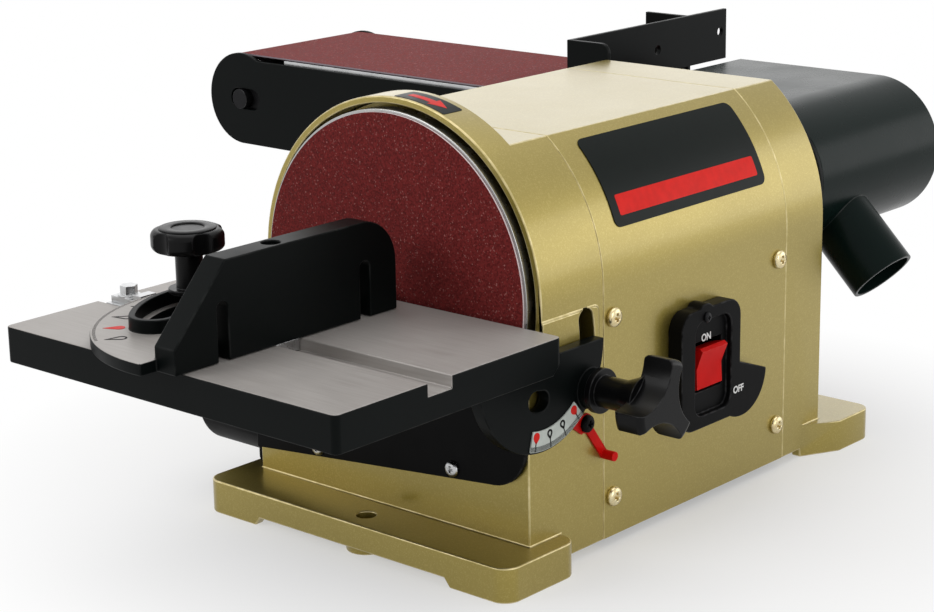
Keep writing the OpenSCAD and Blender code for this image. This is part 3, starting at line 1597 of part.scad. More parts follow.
front_casting();
rear_casting();
motor_cover();
bottom_plate();
cover_screws();
disc_guard();
guard_screws();
dust_spout();
stator();
stator_bolts();
front_bearing();
rear_bearing();
capacitor();
drive_belt();
drum_bearing();
cord_gland();
switch_plate();
switch_rocker();
pivot_pins();
lock_stud();
tilt_pointer();
pointer_screw();
disc_plate();
sanding_disc();
motor_shaft();
rotor();
cooling_fan();
motor_pulley();
drive_drum();
drum_shaft();
drum_pulley();
front_side_plate();
rear_side_plate();
platen();
spacer_tubes();
belt_hood();
hood_screws();
work_stop();
stop_screws();
sanding_belt();
idler_fork();
idler_axle();
idler_roller();
tension_lever();
tracking_knob();
table();
right_trunnion();
left_trunnion();
trunnion_screws();
tilt_scale();
lock_knob();
mitre_bar();
mitre_pointer();
mitre_head();
mitre_knob();
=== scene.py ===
import json
import math

import bmesh
import bpy
from mathutils import Matrix, Vector
from mathutils.bvhtree import BVHTree

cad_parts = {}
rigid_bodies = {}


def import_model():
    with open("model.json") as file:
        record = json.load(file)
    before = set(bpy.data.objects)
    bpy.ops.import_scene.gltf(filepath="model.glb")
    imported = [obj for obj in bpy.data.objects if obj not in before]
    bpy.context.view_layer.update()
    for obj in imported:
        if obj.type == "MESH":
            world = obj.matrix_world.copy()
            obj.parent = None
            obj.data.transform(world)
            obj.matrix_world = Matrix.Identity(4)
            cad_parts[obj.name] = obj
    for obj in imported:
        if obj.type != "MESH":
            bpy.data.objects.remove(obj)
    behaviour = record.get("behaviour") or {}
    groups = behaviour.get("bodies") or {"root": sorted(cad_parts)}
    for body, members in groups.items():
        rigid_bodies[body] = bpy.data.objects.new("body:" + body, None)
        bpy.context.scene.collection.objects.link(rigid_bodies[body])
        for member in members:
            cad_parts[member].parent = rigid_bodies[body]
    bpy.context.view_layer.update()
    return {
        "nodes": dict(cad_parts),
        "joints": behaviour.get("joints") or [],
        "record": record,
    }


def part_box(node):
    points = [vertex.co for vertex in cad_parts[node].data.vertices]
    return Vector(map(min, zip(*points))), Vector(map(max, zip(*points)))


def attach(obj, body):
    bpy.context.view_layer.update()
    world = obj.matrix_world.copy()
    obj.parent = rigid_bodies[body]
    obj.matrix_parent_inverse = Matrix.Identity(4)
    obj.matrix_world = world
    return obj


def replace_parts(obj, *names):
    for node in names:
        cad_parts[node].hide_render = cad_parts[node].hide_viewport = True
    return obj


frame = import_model()

# Frame in metres: X to the switch side, Y from the disc to the belt, Z up from the bench
MM = 0.001
X, Y = 0, 1
NODES = frame["nodes"]
BODY_OF = {n: b for b, ns in frame["record"]["behaviour"]["bodies"].items() for n in ns}
SLOT_OF = {p["node"]: p["material_slot"] for p in frame["record"]["subparts"]}
JOINT_AT = {j["name"]: Vector(j.get("pos_m", (0, 0, 0))) for j in frame["joints"]}

# Camera at the photograph's angle: degrees, millimetres of lens and sensor, and metres
CAMERA_AZIMUTH = 41.64
CAMERA_ELEVATION = 15.49
CAMERA_ROLL = -1.0
CAMERA_LENS = 88.16
CAMERA_SENSOR = 36
CAMERA_AT = (0.6741, -0.8189, 0.3786)

# Soft boxes: name, place, width and height, power; the point they look at; light from all round
LAMPS = (
    ("overhead", (-0.1, 0.2, 1.6), (1.5, 1.3), 9),
    ("front_left", (-0.9, -1.5, 1.0), (0.9, 0.9), 9),
    ("right_side", (1.7, -0.2, 0.7), (0.8, 1.0), 6),
    ("right_back", (1.1, 1.4, 0.42), (1.2, 0.8), 5),
    ("left_back", (-1.2, 1.35, 0.6), (1.4, 0.8), 2),
)
LAMP_AIM = Vector((0, 0, 0.1))
SKY_LIGHT = 0.42

# Floor: half its width, where its white starts and is full, and the share of white under the machine
FLOOR_HALF = 8.0
FLOOR_FADE = (0.1, 0.3)
FLOOR_WHITE_NEAR = 0.35

# Places read from the frame, and the mitre protractor's thickness
BODY_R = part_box("motor_cover")[1].x
SPINDLE = JOINT_AT["disc_spin"]
TILT_PIVOT = JOINT_AT["table_tilt"]
SWIVEL = JOINT_AT["mitre_swivel"]
DRUM = JOINT_AT["drum_spin"]
IDLER = JOINT_AT["idler_spin"]
SLIDE_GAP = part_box("mitre_head")[0].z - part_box("table")[1].z
PROTRACTOR_T = 5.2 * MM
PROTRACTOR_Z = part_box("mitre_head")[0].z + PROTRACTOR_T

# Bare nameplate on the housing's shoulder: Y, degrees above the level, thickness, corner
PLATE_Y = (-51 * MM, 64 * MM)
PLATE_ANGLE = (17.4, 47.5)
PLATE_T = 0.4 * MM
PLATE_CORNER = 4 * MM

# Red bar on the nameplate: its edges above the plate's lower edge, inset of its ends, corner
BAR_RISE = (5 * MM, 14.5 * MM)
BAR_INSET = 5 * MM
BAR_CORNER = 1 * MM

# Label on the guard ring, and its arrow: inset of its ends, half widths of shaft and head, head's length
RING_LABEL_Y = (-105.5 * MM, -93 * MM)
RING_LABEL_ANGLE = (70.0, 90.5)
RING_LABEL_T = 0.15 * MM
RING_LABEL_CORNER = 1 * MM
ARROW_INSET = 4 * MM
ARROW_SHAFT = 1.8 * MM
ARROW_HEAD = 4.2 * MM
ARROW_HEAD_LEN = 8 * MM

# Print: height above what it is on, capitals as a share of the font's size, thickening of the strokes
PRINT_T = 0.06 * MM
CAPITAL_SHARE = 0.7
STROKE_EXTRA = 0.12 * MM

# Switch plate: words with their depth below its face, Y and Z; letters' height; screw's Y and Z, radius
SWITCH_WORDS = (
    ("switch_on", "ON", 3 * MM, 5 * MM, 83.3 * MM),
    ("switch_off", "OFF", 0, 27 * MM, 53.5 * MM),
)
SWITCH_LETTERS = 3.3 * MM
SWITCH_SCREW_AT = (1.25 * MM, 94 * MM)
SWITCH_SCREW_R = 2.4 * MM

# Tilt scale: first degree and degrees it covers, outer radius, stems and degrees between them
TILT_FIRST = -104
TILT_ARC = 54
TILT_RIM = 40 * MM
TILT_STEMS = 4
TILT_STEP = 15

# Its marks: length and width of the bars, radius and tip of the drops, and how far each lies in from the rim
TILT_LINE = (2.2 * MM, 0.32 * MM)
TILT_STEM = (4.4 * MM, 0.5 * MM)
TILT_RING = (1.7 * MM, 3 * MM)
TILT_RING_HOLE = (0.8 * MM, 1.5 * MM)
TILT_SPOT = (2 * MM, 3.2 * MM)
TILT_LINE_IN = 1.3 * MM
TILT_STEM_IN = 2.4 * MM
TILT_DROP_IN = 6.6 * MM

# Protractor's scale in degrees: square to the bar, reach to each side, between drops, mitre
MITRE_SQUARE = 180
MITRE_REACH = 60
MITRE_STEP = 15
MITRE_ANGLE = 45

# Its marks, as those of the tilt scale
MITRE_LINE = (1.4 * MM, 0.3 * MM)
MITRE_DROP = (2.5 * MM, 7 * MM)
MITRE_DROP_HOLE = (1.7 * MM, 5 * MM)
MITRE_LINE_IN = 1.6 * MM
MITRE_DROP_IN = 12 * MM

# Shares of a face's normal along an axis that decide its finish, and how near the protractor's top a face
# lies that is part of it
TABLE_TOP_FACING = 0.6
SLOT_END_FACING = 0.5
PROTRACTOR_FACING = 0.9
DISC_FACING = 0.8
BELT_SIDE_FACING = 0.5
PROTRACTOR_NEAR = 0.5 * MM

# Edge rounding by kind of piece, its steps, and the angles past which an edge is sharp or shades as a crease
CAST_EDGE = 0.7 * MM
THIN_CAST_EDGE = 0.49 * MM
SHEET_EDGE = 0.4 * MM
MOULD_EDGE = 0.6 * MM
KNOB_EDGE = 0.35 * MM
FINE_EDGE = 0.2 * MM
EDGE_STEPS = 2
SHARP = math.radians(32)
CREASE = math.radians(50)

# A CAD mesh is mended: points this near are joined, edges this short go, faces this level become one
WELD = 0.002 * MM
SLIVER = 0.07 * MM
LEVEL = math.radians(0.3)

# Screw heads: rise as a share of the radius, sides, profile in shares of radius and rise
HEAD_RISE = 0.6
HEAD_SIDES = 28
HEAD_PROFILE = ((1.0, 0.0), (1.0, 0.35), (0.95, 0.62), (0.8, 0.85), (0.55, 0.97), (0.3, 1.0))

# Cross recess: length at the top and bottom and width in radii, floor and top in rises
CROSS_LENGTH = (1.2, 0.42)
CROSS_WIDTH = 0.3
CROSS_FLOOR = 0.45
CROSS_TOP = 1.35

# Raised ring on the mitre knob: radius and height above the knob's top, round its section
KNOB_RING = tuple((r * MM, z * MM) for r, z in
                  ((12.4, -0.1), (12.4, 0.35), (12.0, 0.6), (7.8, 0.6), (7.2, 0.4), (7.0, -0.1)))
KNOB_RING_SIDES = 48

# Steps of a round corner and of a drop's round end, and the longest flat of a bent plate
CORNER_STEPS = 6
DROP_STEPS = 16
BEND_STEP = 2 * MM


class Nodes:
    """A node tree with short ways to add its nodes and join them"""

    def __init__(self, tree):
        self.tree = tree

    def add(self, kind, **settings):
        """A new node with its settings"""
        node = self.tree.nodes.new(kind)
        for key, value in settings.items():
            setattr(node, key, value)
        return node

    def feed(self, node, socket, value):
        """Links another node's output to an input, or sets the input to a constant"""
        if isinstance(value, bpy.types.NodeSocket):
            self.tree.links.new(value, node.inputs[socket])
        else:
            node.inputs[socket].default_value = value

    def span(self, value, low, high, to_low=0.0, to_high=1.0):
        """A value taken from one range to another"""
        node = self.add("ShaderNodeMapRange")
        for socket, v in zip(("Value", "From Min", "From Max", "To Min", "To Max"),
                             (value, low, high, to_low, to_high)):
            self.feed(node, socket, v)
        return node.outputs["Result"]

    def sums(self, operation, a, b, clamp=False):
        """Two values put together by one operation"""
        node = self.add("ShaderNodeMath", operation=operation, use_clamp=clamp)
        self.feed(node, 0, a)
        self.feed(node, 1, b)
        return node.outputs["Value"]

    def seen_straight(self):
        """1 where a ray comes from the camera, off a mirror or through a clear body"""
        path = self.add("ShaderNodeLightPath").outputs
        total = path["Is Camera Ray"]
        for kind in ("Is Glossy Ray", "Is Transmission Ray"):
            total = self.sums("ADD", total, path[kind], clamp=True)
        return total


class Finish(Nodes):
    """A material's node tree around its Principled shader, in object coordinates"""

    # Parts of the noise's range that a colour's drift, a roughness' drift and the patches of edge wear and
    # painted edge highlight take
    TONE_RANGE = (0.35, 0.65)
    ROUGH_RANGE = (0.3, 0.7)
    EDGE_WEAR_AND_HIGHLIGHT_RANGE = (0.42, 0.62)

    # The Mix node's colour sockets, which share their names with those of other types
    MIX_SHARE, MIX_A, MIX_B, MIX_RESULT = 0, 6, 7, 2

    def __init__(self, name, roughness=0.5, **constants):
        self.material = bpy.data.materials.new(name)
        self.material.use_nodes = True
        super().__init__(self.material.node_tree)
        self.shader = self.tree.nodes["Principled BSDF"]
        self.place = self.add("ShaderNodeTexCoord").outputs["Object"]
        self.set("Roughness", roughness)
        for socket, value in constants.items():
            self.set(socket.replace("_", " "), value)

    def set(self, socket, value):
        """Feeds the Principled shader"""
        self.feed(self.shader, socket, value)

    def stretched(self, scale):
        """Object coordinates with a scale along each axis"""
        node = self.add("ShaderNodeMapping")
        self.feed(node, "Vector", self.place)
        self.feed(node, "Scale", scale)
        return node.outputs["Vector"]

    def noise(self, size, detail=3.0, stretch=None):
        """Cloudy pattern whose features measure about size metres"""
        node = self.add("ShaderNodeTexNoise")
        self.feed(node, "Vector", self.stretched(stretch) if stretch else self.place)
        self.feed(node, "Scale", 1 / size)
        self.feed(node, "Detail", detail)
        return node.outputs["Fac"]

    def grains(self, size, output="Color"):
        """Cells of about size metres, each with its own random colour"""
        node = self.add("ShaderNodeTexVoronoi")
        self.feed(node, "Vector", self.place)
        self.feed(node, "Scale", 1 / size)
        return node.outputs[output]

    def blend(self, share, a, b):
        """A colour between two others"""
        node = self.add("ShaderNodeMix", data_type="RGBA")
        self.feed(node, self.MIX_SHARE, share)
        for socket, value in ((self.MIX_A, a), (self.MIX_B, b)):
            self.feed(node, socket, value if isinstance(value, bpy.types.NodeSocket) else (*value, 1))
        return node.outputs[self.MIX_RESULT]

    def tone(self, color, size, spread):
        """A colour that drifts lighter and darker by a share of itself"""
        dark, pale = (tuple(c * (1 + s * spread) for c in color) for s in (-1, 1))
        return self.blend(self.span(self.noise(size), *self.TONE_RANGE), dark, pale)

    def coat(self, color, bare, patch, most, painted_highlight_floor=0.0):
        """Base colour with a paler one on the rounded edges: wear rubbed through, more and less in patches,
        and a painted edge highlight that the floor share keeps along every edge
        """
        mark = self.add("ShaderNodeAttribute", attribute_name="worn").outputs["Fac"]
        share = self.span(self.noise(patch), *self.EDGE_WEAR_AND_HIGHLIGHT_RANGE, painted_highlight_floor, most)
        # The second colour on the edges stands for rubbed-through wear and also for a painted edge highlight
        self.set("Base Color", self.blend(self.sums("MULTIPLY", mark, share), color, bare))

    def uneven(self, size, low, high):
        """Roughness that drifts between two values"""
        self.set("Roughness", self.span(self.noise(size), *self.ROUGH_RANGE, low, high))

    def relief(self, height, strength, depth):
        """Bump from a height pattern"""
        node = self.add("ShaderNodeBump")
        self.feed(node, "Strength", strength)
        self.feed(node, "Distance", depth)
        self.feed(node, "Height", height)
        self.set("Normal", node.outputs["Normal"])


def gold_paint():
    """Metallic gold enamel under clear lacquer, on a cast or sheet wall"""
    f = Finish("gold_paint", Metallic=0.9, Coat_Weight=0.7, Coat_Roughness=0.2)
    paint = f.tone((0.3, 0.232, 0.045), 120 * MM, 0.03)
    flake = f.blend(f.span(f.grains(0.5 * MM), 0.55, 0.95, 0.0, 0.3), paint, (0.52, 0.42, 0.13))
    # Pale gold on the rounded edges: a painted edge highlight kept along every edge by the 0.35 share, with
    # wear in patches up to 0.75
    f.coat(flake, (0.66, 0.56, 0.3), 6 * MM, 0.75, 0.35)
    f.uneven(40 * MM, 0.38, 0.43)
    peel = f.sums("ADD", f.noise(2.2 * MM), f.sums("MULTIPLY", f.noise(0.6 * MM), 0.3))
    f.relief(peel, 0.05, 0.1 * MM)
    return f.material


def black_paint():
    """Satin black enamel on castings and plates"""
    f = Finish("black_paint", Specular_IOR_Level=0.06)
    # Grey on the rounded edges: wear in patches and a painted edge highlight
    f.coat(f.tone((0.002, 0.003, 0.0029), 60 * MM, 0.1), (0.045, 0.046, 0.045), 9 * MM, 0.3)
    f.uneven(20 * MM, 0.36, 0.42)
    f.relief(f.noise(0.9 * MM), 0.06, 0.08 * MM)
    return f.material


def hood_black():
    """Smoother black enamel of the dust hood, with a broad soft shine"""
    f = Finish("hood_black", Specular_IOR_Level=0.075)
    f.coat(f.tone((0.003, 0.0085, 0.0072), 70 * MM, 0.08), (0.06, 0.062, 0.06), 5 * MM, 0.5)
    f.uneven(25 * MM, 0.25, 0.3)
    f.relief(f.noise(1.1 * MM), 0.04, 0.08 * MM)
    return f.material


def black_plastic(name, shine, roughness):
    """Moulded black plastic with a fine spark texture"""
    f = Finish(name, Specular_IOR_Level=shine)
    f.coat(f.tone((0.003, 0.003, 0.0032), 30 * MM, 0.1), (0.05, 0.05, 0.052), 4 * MM, 0.5)
    f.uneven(12 * MM, roughness - 0.04, roughness + 0.04)
    f.relief(f.grains(0.45 * MM, "Distance"), 0.08, 0.05 * MM)
    return f.material


def dark_steel():
    """Blackened steel of the idler's fork and axle and of the switch plate's screw"""
    f = Finish("dark_steel", Metallic=0.5, Specular_IOR_Level=0.15)
    f.coat(f.tone((0.009, 0.009, 0.01), 9 * MM, 0.2), (0.1, 0.1, 0.1), 3 * MM, 0.6)
    f.uneven(6 * MM, 0.38, 0.5)
    f.relief(f.noise(0.8 * MM), 0.08, 0.05 * MM)
    return f.material


def table_metal():
    """Ground metal of the table's top, with lines along its length"""
    f = Finish("table_metal", Metallic=0.3, Specular_IOR_Level=0.3)
    lines = f.noise(0.9 * MM, 4.0, stretch=(0.03, 1, 1))
    metal = f.tone((0.37, 0.345, 0.325), 90 * MM, 0.06)
    f.set("Base Color", f.blend(f.span(lines, 0.35, 0.7, 0.0, 0.5), metal, (0.47, 0.45, 0.43)))
    f.set("Roughness", f.span(f.sums("ADD", lines, f.noise(22 * MM)), 0.7, 1.3, 0.42, 0.52))
    f.relief(lines, 0.1, 0.05 * MM)
    return f.material


def turned_aluminium():
    """Turned disc and rollers, with lines round their axis"""
    f = Finish("turned_aluminium", Metallic=1.0)
    lines = f.noise(0.5 * MM, 3.0, stretch=(0.02, 1, 0.02))
    f.set("Base Color", f.blend(f.span(lines, 0.3, 0.7), (0.36, 0.36, 0.355), (0.46, 0.46, 0.455)))
    f.uneven(8 * MM, 0.22, 0.3)
    f.relief(lines, 0.08, 0.04 * MM)
    return f.material


def plain_steel():
    """Bright steel of screws, bars and pins"""
    f = Finish("plain_steel", Metallic=1.0)
    f.coat(f.tone((0.5, 0.505, 0.51), 12 * MM, 0.08), (0.72, 0.72, 0.72), 3 * MM, 0.4)
    f.uneven(6 * MM, 0.24, 0.36)
    f.relief(f.noise(0.7 * MM), 0.05, 0.05 * MM)
    return f.material


def yellow_zinc():
    """Yellow plated screw heads"""
    f = Finish("yellow_zinc", Metallic=1.0)
    plating = f.span(f.noise(3 * MM), 0.3, 0.7)
    f.set("Base Color", f.blend(plating, (0.62, 0.5, 0.27), (0.74, 0.66, 0.42)))
    f.uneven(2 * MM, 0.22, 0.34)
    f.relief(f.noise(0.6 * MM), 0.05, 0.05 * MM)
    return f.material


def abrasive():
    """Reddish brown abrasive grains in resin, with paler grains that are partly painted glints, and darker
    clouds
    """
    f = Finish("abrasive", Specular_IOR_Level=0.07, Sheen_Weight=0.05, Sheen_Roughness=0.5)
    cells = f.grains(0.8 * MM)
    resin = f.blend(f.span(cells, 0.2, 0.8), (0.115, 0.0105, 0.0105), (0.215, 0.025, 0.024))
    # Pale grains: partly the abrasive's own lighter grains, partly painted glints
    grit_and_painted_glints = f.blend(f.span(f.grains(0.65 * MM), 0.8, 0.93, 0.0, 0.7), resin, (0.42, 0.17, 0.155))
    clouds = f.span(f.noise(60 * MM), 0.45, 0.75, 0.0, 0.14)
    f.set("Base Color", f.blend(clouds, grit_and_painted_glints, (0.09, 0.014, 0.013)))
    f.set("Roughness", f.span(cells, 0.2, 0.8, 0.6, 0.85))
    f.relief(f.grains(0.8 * MM, "Distance"), 0.4, 0.3 * MM)
    return f.material


def backing_cloth(name, color):
    """Woven or paper backing, seen at the abrasive's cut edges"""
    f = Finish(name, 0.85, Specular_IOR_Level=0.2)
    weave = f.noise(0.6 * MM, 2.0)
    f.set("Base Color", f.blend(f.span(weave, 0.3, 0.7), tuple(0.85 * c for c in color), color))
    f.relief(weave, 0.3, 0.1 * MM)
    return f.material


def red_plastic():
    """Moulded red plastic of the rocker and the tilt pointer"""
    f = Finish("red_plastic", Specular_IOR_Level=0.06)
    f.coat(f.tone((0.56, 0.004, 0.003), 12 * MM, 0.06), (0.7, 0.1, 0.08), 3 * MM, 0.4)
    f.uneven(5 * MM, 0.3, 0.38)
    f.relief(f.noise(1.2 * MM), 0.04, 0.05 * MM)
    return f.material


def printed(name, color, roughness=0.5):
    """Ink or paint on a plate, a little uneven"""
    f = Finish(name, Specular_IOR_Level=0.08)
    f.set("Base Color", f.tone(color, 5 * MM, 0.06))
    f.uneven(7 * MM, roughness - 0.04, roughness + 0.04)
    f.relief(f.noise(0.8 * MM), 0.03, 0.04 * MM)
    return f.material


def motor_iron():
    """Stacked sheets of the motor's core"""
    f = Finish("motor_iron", Metallic=0.6)
    layers = f.noise(0.6 * MM, 2.0, stretch=(0.05, 1, 0.05))
    f.set("Base Color", f.blend(f.span(layers, 0.3, 0.7), (0.12, 0.075, 0.05), (0.22, 0.15, 0.1)))
    f.uneven(5 * MM, 0.45, 0.65)
    f.relief(layers, 0.15, 0.06 * MM)
    return f.material


def belt_rubber():
    """Dull rubber of the drive belt"""
    f = Finish("belt_rubber", 0.75)
    f.set("Base Color", f.tone((0.016, 0.016, 0.016), 4 * MM, 0.25))
    f.relief(f.noise(0.8 * MM), 0.15, 0.08 * MM)
    return f.material


# Finishes by the record's material slots, then those that only some pieces have
FINISHES = {
    "gold_paint": gold_paint(),
    "black_paint": black_paint(),
    "black_plastic": black_plastic("black_plastic", 0.05, 0.44),
    "aluminium": turned_aluminium(),
    "steel": plain_steel(),
    "motor_core": motor_iron(),
    "rubber": belt_rubber(),
    "abrasive": abrasive(),
    "red_plastic": red_plastic(),
    "white_scale": printed("scale_white", (0.56, 0.6, 0.56)),
}
FINISHES["cast_table"] = FINISHES["black_paint"]
HOOD_BLACK = hood_black()
KNOB_BLACK = black_plastic("knob_black", 0.13, 0.3)
DARK_STEEL = dark_steel()
TABLE_METAL = table_metal()
YELLOW_ZINC = yellow_zinc()
BELT_CLOTH = backing_cloth("belt_cloth", (0.3, 0.25, 0.28))
DISC_PAPER = backing_cloth("disc_paper", (0.8, 0.68, 0.68))
PLATE_BLACK = printed("plate_black", (0.003, 0.0055, 0.0044), 0.34)
INK_RED = printed("ink_red", (0.7, 0.016, 0.011), 0.4)
INK_WHITE = printed("ink_white", (0.75, 0.75, 0.74))
INK_BLACK = printed("ink_black", (0.005, 0.005, 0.005))


def put(name, data):
    """A new object in the scene"""
    thing = bpy.data.objects.new(name, data)
    bpy.context.scene.collection.objects.link(thing)
    return thing


def new_piece(name, mesh, body, slot, *finishes):
    """A mesh as a piece of the object that moves with a body"""
    piece = put(name, mesh)
    for finish in finishes:
        mesh.materials.append(finish)
    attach(piece, body)
    return piece


def mesh_of(bm, name):
    """Ends work on a bmesh and gives it as a named mesh"""
    mesh = bpy.data.meshes.new(name)
    bm.to_mesh(mesh)
    bm.free()
    return mesh


def evaluated_mesh(thing):
    """The plain mesh that an object's modifiers or curve give"""
    bpy.context.view_layer.update()
    return bpy.data.meshes.new_from_object(thing.evaluated_get(bpy.context.evaluated_depsgraph_get()))


def joined(name):
    """A copy of a CAD node's mesh, its loose triangles joined"""
    bm = bmesh.new()
    bm.from_mesh(NODES[name].data)
    bmesh.ops.remove_doubles(bm, verts=bm.verts, dist=WELD)
    return bm


def soften(bm, edge):
    """Rounds the sharp edges, marks the new faces for edge wear and a painted edge highlight, and brings
    points that strayed back to the skin
    """
    worn = bm.faces.layers.float.new("worn")
    skin = BVHTree.FromBMesh(bm)
    sharp = [e for e in bm.edges if len(e.link_faces) == 2 and e.calc_face_angle(0) > SHARP]
    made = bmesh.ops.bevel(bm, geom=sharp, offset=edge, offset_type="OFFSET", segments=EDGE_STEPS,
                           profile=0.5, affect="EDGES", clamp_overlap=False, loop_slide=False)
    for face in made["faces"]:
        face[worn] = 1.0
    for v in bm.verts:
        near, _, _, away = skin.find_nearest(v.co)
        if away > edge:
            v.co = near
    for face in bm.faces:
        face.smooth = True


def dress(name, edge, finish=None, second=None, on_second=None):
    """Stands for a CAD node: the same skin with rounded edges, its finish, and a second one on some faces"""
    bm = joined(name)
    bmesh.ops.dissolve_degenerate(bm, edges=bm.edges, dist=SLIVER)
    bmesh.ops.dissolve_limit(bm, angle_limit=LEVEL, verts=bm.verts, edges=bm.edges)
    soften(bm, edge)
    finishes = [finish or FINISHES[SLOT_OF[name]]]
    if second is not None:
        finishes.append(second)
        for face in bm.faces:
            face.material_index = int(on_second(face))
    mesh = mesh_of(bm, name + "_skin")
    mesh.set_sharp_from_angle(angle=CREASE)
    piece = new_piece(name + "_skin", mesh, BODY_OF[name], SLOT_OF[name], *finishes)
    smooth = piece.modifiers.new("even_shading", "WEIGHTED_NORMAL")
    smooth.keep_sharp = True
    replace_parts(piece, name)


def dress_all(names, edge, finish=None):
    """Dresses several CAD nodes alike"""
    for name in names:
        dress(name, edge, finish)


def basis(origin, right, up):
    """A matrix whose X and Y lie along right and up, from an origin"""
    right, up = Vector(right).normalized(), Vector(up).normalized()
    m = Matrix((right, up, right.cross(up))).transposed().to_4x4()
    m.translation = Vector(origin)
    return m


def raised(bm):
    """Draws flat faces out to a solid and gives its upper points, still to be moved"""
    made = bmesh.ops.extrude_face_region(bm, geom=bm.faces[:])
    return [v for v in made["geom"] if isinstance(v, bmesh.types.BMVert)]


def turned(bm, middle, profile, sides, closed=False):
    """Rings round +Z from radius and height pairs, with faces between them; closed joins last to first"""
    turns = [2 * math.pi * i / sides for i in range(sides)]
    rings = [[bm.verts.new(middle + Vector((r * math.cos(a), r * math.sin(a), z))) for a in turns]
             for r, z in profile]
    for low, high in zip(rings, rings[1:] + rings[:1] if closed else rings[1:]):
        for i in range(sides):
            j = (i + 1) % sides
            bm.faces.new((low[i], low[j], high[j], high[i])).smooth = True
    return rings


def round_corners(u0, v0, u1, v1, r):
    """A rectangle's outline with round corners"""
    points = []
    for cu, cv, start in ((u1 - r, v1 - r, 0), (u0 + r, v1 - r, 90),
                          (u0 + r, v0 + r, 180), (u1 - r, v0 + r, 270)):
        for i in range(CORNER_STEPS + 1):
            a = math.radians(start + 90 * i / CORNER_STEPS)
            points.append((cu + r * math.cos(a), cv + r * math.sin(a)))
    return points


def arrow_outline(tail, tip, y):
    """The ring label's arrow along the first axis, from tail to tip, about y"""
    neck = tip + (ARROW_HEAD_LEN if tail > tip else -ARROW_HEAD_LEN)
    return [(tip, y), (neck, y + ARROW_HEAD), (neck, y + ARROW_SHAFT), (tail, y + ARROW_SHAFT),
            (tail, y - ARROW_SHAFT), (neck, y - ARROW_SHAFT), (neck, y - ARROW_HEAD)]


def curved_patch(name, outline, radius, thickness, slot, finish):
    """A thin plate bent round the spindle's axis; its outline is in arc length from +X and in Y"""
    bm = bmesh.new()
    bm.faces.new([bm.verts.new((u, v, 0)) for u, v in outline])
    low, high = min(u for u, _ in outline), max(u for u, _ in outline)
    cuts = int((high - low) / BEND_STEP)
    for i in range(1, cuts):
        bmesh.ops.bisect_plane(bm, geom=bm.verts[:] + bm.edges[:] + bm.faces[:],
                               plane_co=(low + (high - low) * i / cuts, 0, 0), plane_no=(1, 0, 0))
    outer = set(raised(bm))
    for v in bm.verts:
        r = radius + (thickness if v in outer else 0)
        turn = v.co.x / radius
        v.co = Vector((SPINDLE.x + r * math.cos(turn), v.co.y, SPINDLE.z + r * math.sin(turn)))
    bmesh.ops.recalc_face_normals(bm, faces=bm.faces[:])
    new_piece(name, mesh_of(bm, name), "machine", slot, finish)


def add_plates():
    """Bare nameplate with a plain red bar, and the ring's label with the arrow for the turning disc"""
    arc = [math.radians(a) * BODY_R for a in PLATE_ANGLE]
    plate = round_corners(arc[0], PLATE_Y[0], arc[1], PLATE_Y[1], PLATE_CORNER)
    curved_patch("nameplate", plate, BODY_R, PLATE_T, "black_paint", PLATE_BLACK)
    low, high = (arc[0] + rise for rise in BAR_RISE)
    bar = round_corners(low, PLATE_Y[0] + BAR_INSET, high, PLATE_Y[1] - BAR_INSET, BAR_CORNER)
    curved_patch("nameplate_bar", bar, BODY_R + PLATE_T, PRINT_T, "red_plastic", INK_RED)
    arc = [math.radians(a) * BODY_R for a in RING_LABEL_ANGLE]
    label = round_corners(arc[0], RING_LABEL_Y[0], arc[1], RING_LABEL_Y[1], RING_LABEL_CORNER)
    curved_patch("ring_label", label, BODY_R, RING_LABEL_T, "black_paint", PLATE_BLACK)
    arrow = arrow_outline(arc[1] - ARROW_INSET, arc[0] + ARROW_INSET, sum(RING_LABEL_Y) / 2)
    curved_patch("ring_arrow", arrow, BODY_R + RING_LABEL_T, PRINT_T, "red_plastic", INK_RED)


class Pattern(Nodes):
    """A Geometry Nodes tree with named inputs, ending in plain geometry of one finish"""

    def __init__(self, name, finish, **inputs):
        super().__init__(bpy.data.node_groups.new(name, "GeometryNodeTree"))
        face = self.tree.interface
        face.new_socket("Geometry", in_out="INPUT", socket_type="NodeSocketGeometry")
        self.ids = {n: face.new_socket(n, in_out="INPUT", socket_type="NodeSocket" + kind).identifier
                    for n, kind in inputs.items()}
        face.new_socket("Geometry", in_out="OUTPUT", socket_type="NodeSocketGeometry")
        self.start = self.add("NodeGroupInput").outputs
        self.finish = finish

    def end(self, instances):
        """Makes the instances real and gives them their finish"""
        real = self.add("GeometryNodeRealizeInstances")
        coat = self.add("GeometryNodeSetMaterial")
        self.feed(real, "Geometry", instances)
        self.feed(coat, "Geometry", real.outputs["Geometry"])
        self.feed(coat, "Material", self.finish)
        self.feed(self.add("NodeGroupOutput"), "Geometry", coat.outputs["Geometry"])

    def grow(self, points, **values):
        """The plain mesh that the tree makes from a mesh of points"""
        base = put("points", points)
        made = base.modifiers.new("grow", "NODES")
        made.node_group = self.tree
        for name, value in values.items():
            made[self.ids[name]] = value
        mesh = evaluated_mesh(base)
        base.modifiers.clear()
        bpy.data.objects.remove(base)
        return mesh


def islands(name):
    """Lowest and highest corners of each separate solid in a CAD node"""
    bm = joined(name)
    left, found = set(bm.verts), []
    while left:
        group, queue = [], [left.pop()]
        while queue:
            v = queue.pop()
            group.append(v.co.copy())
            for e in v.link_edges:
                w = e.other_vert(v)
                if w in left:
                    left.discard(w)
                    queue.append(w)
        found.append((Vector(map(min, *group)), Vector(map(max, *group))))
    bm.free()
    return sorted(found, key=lambda b: tuple(b[0]))


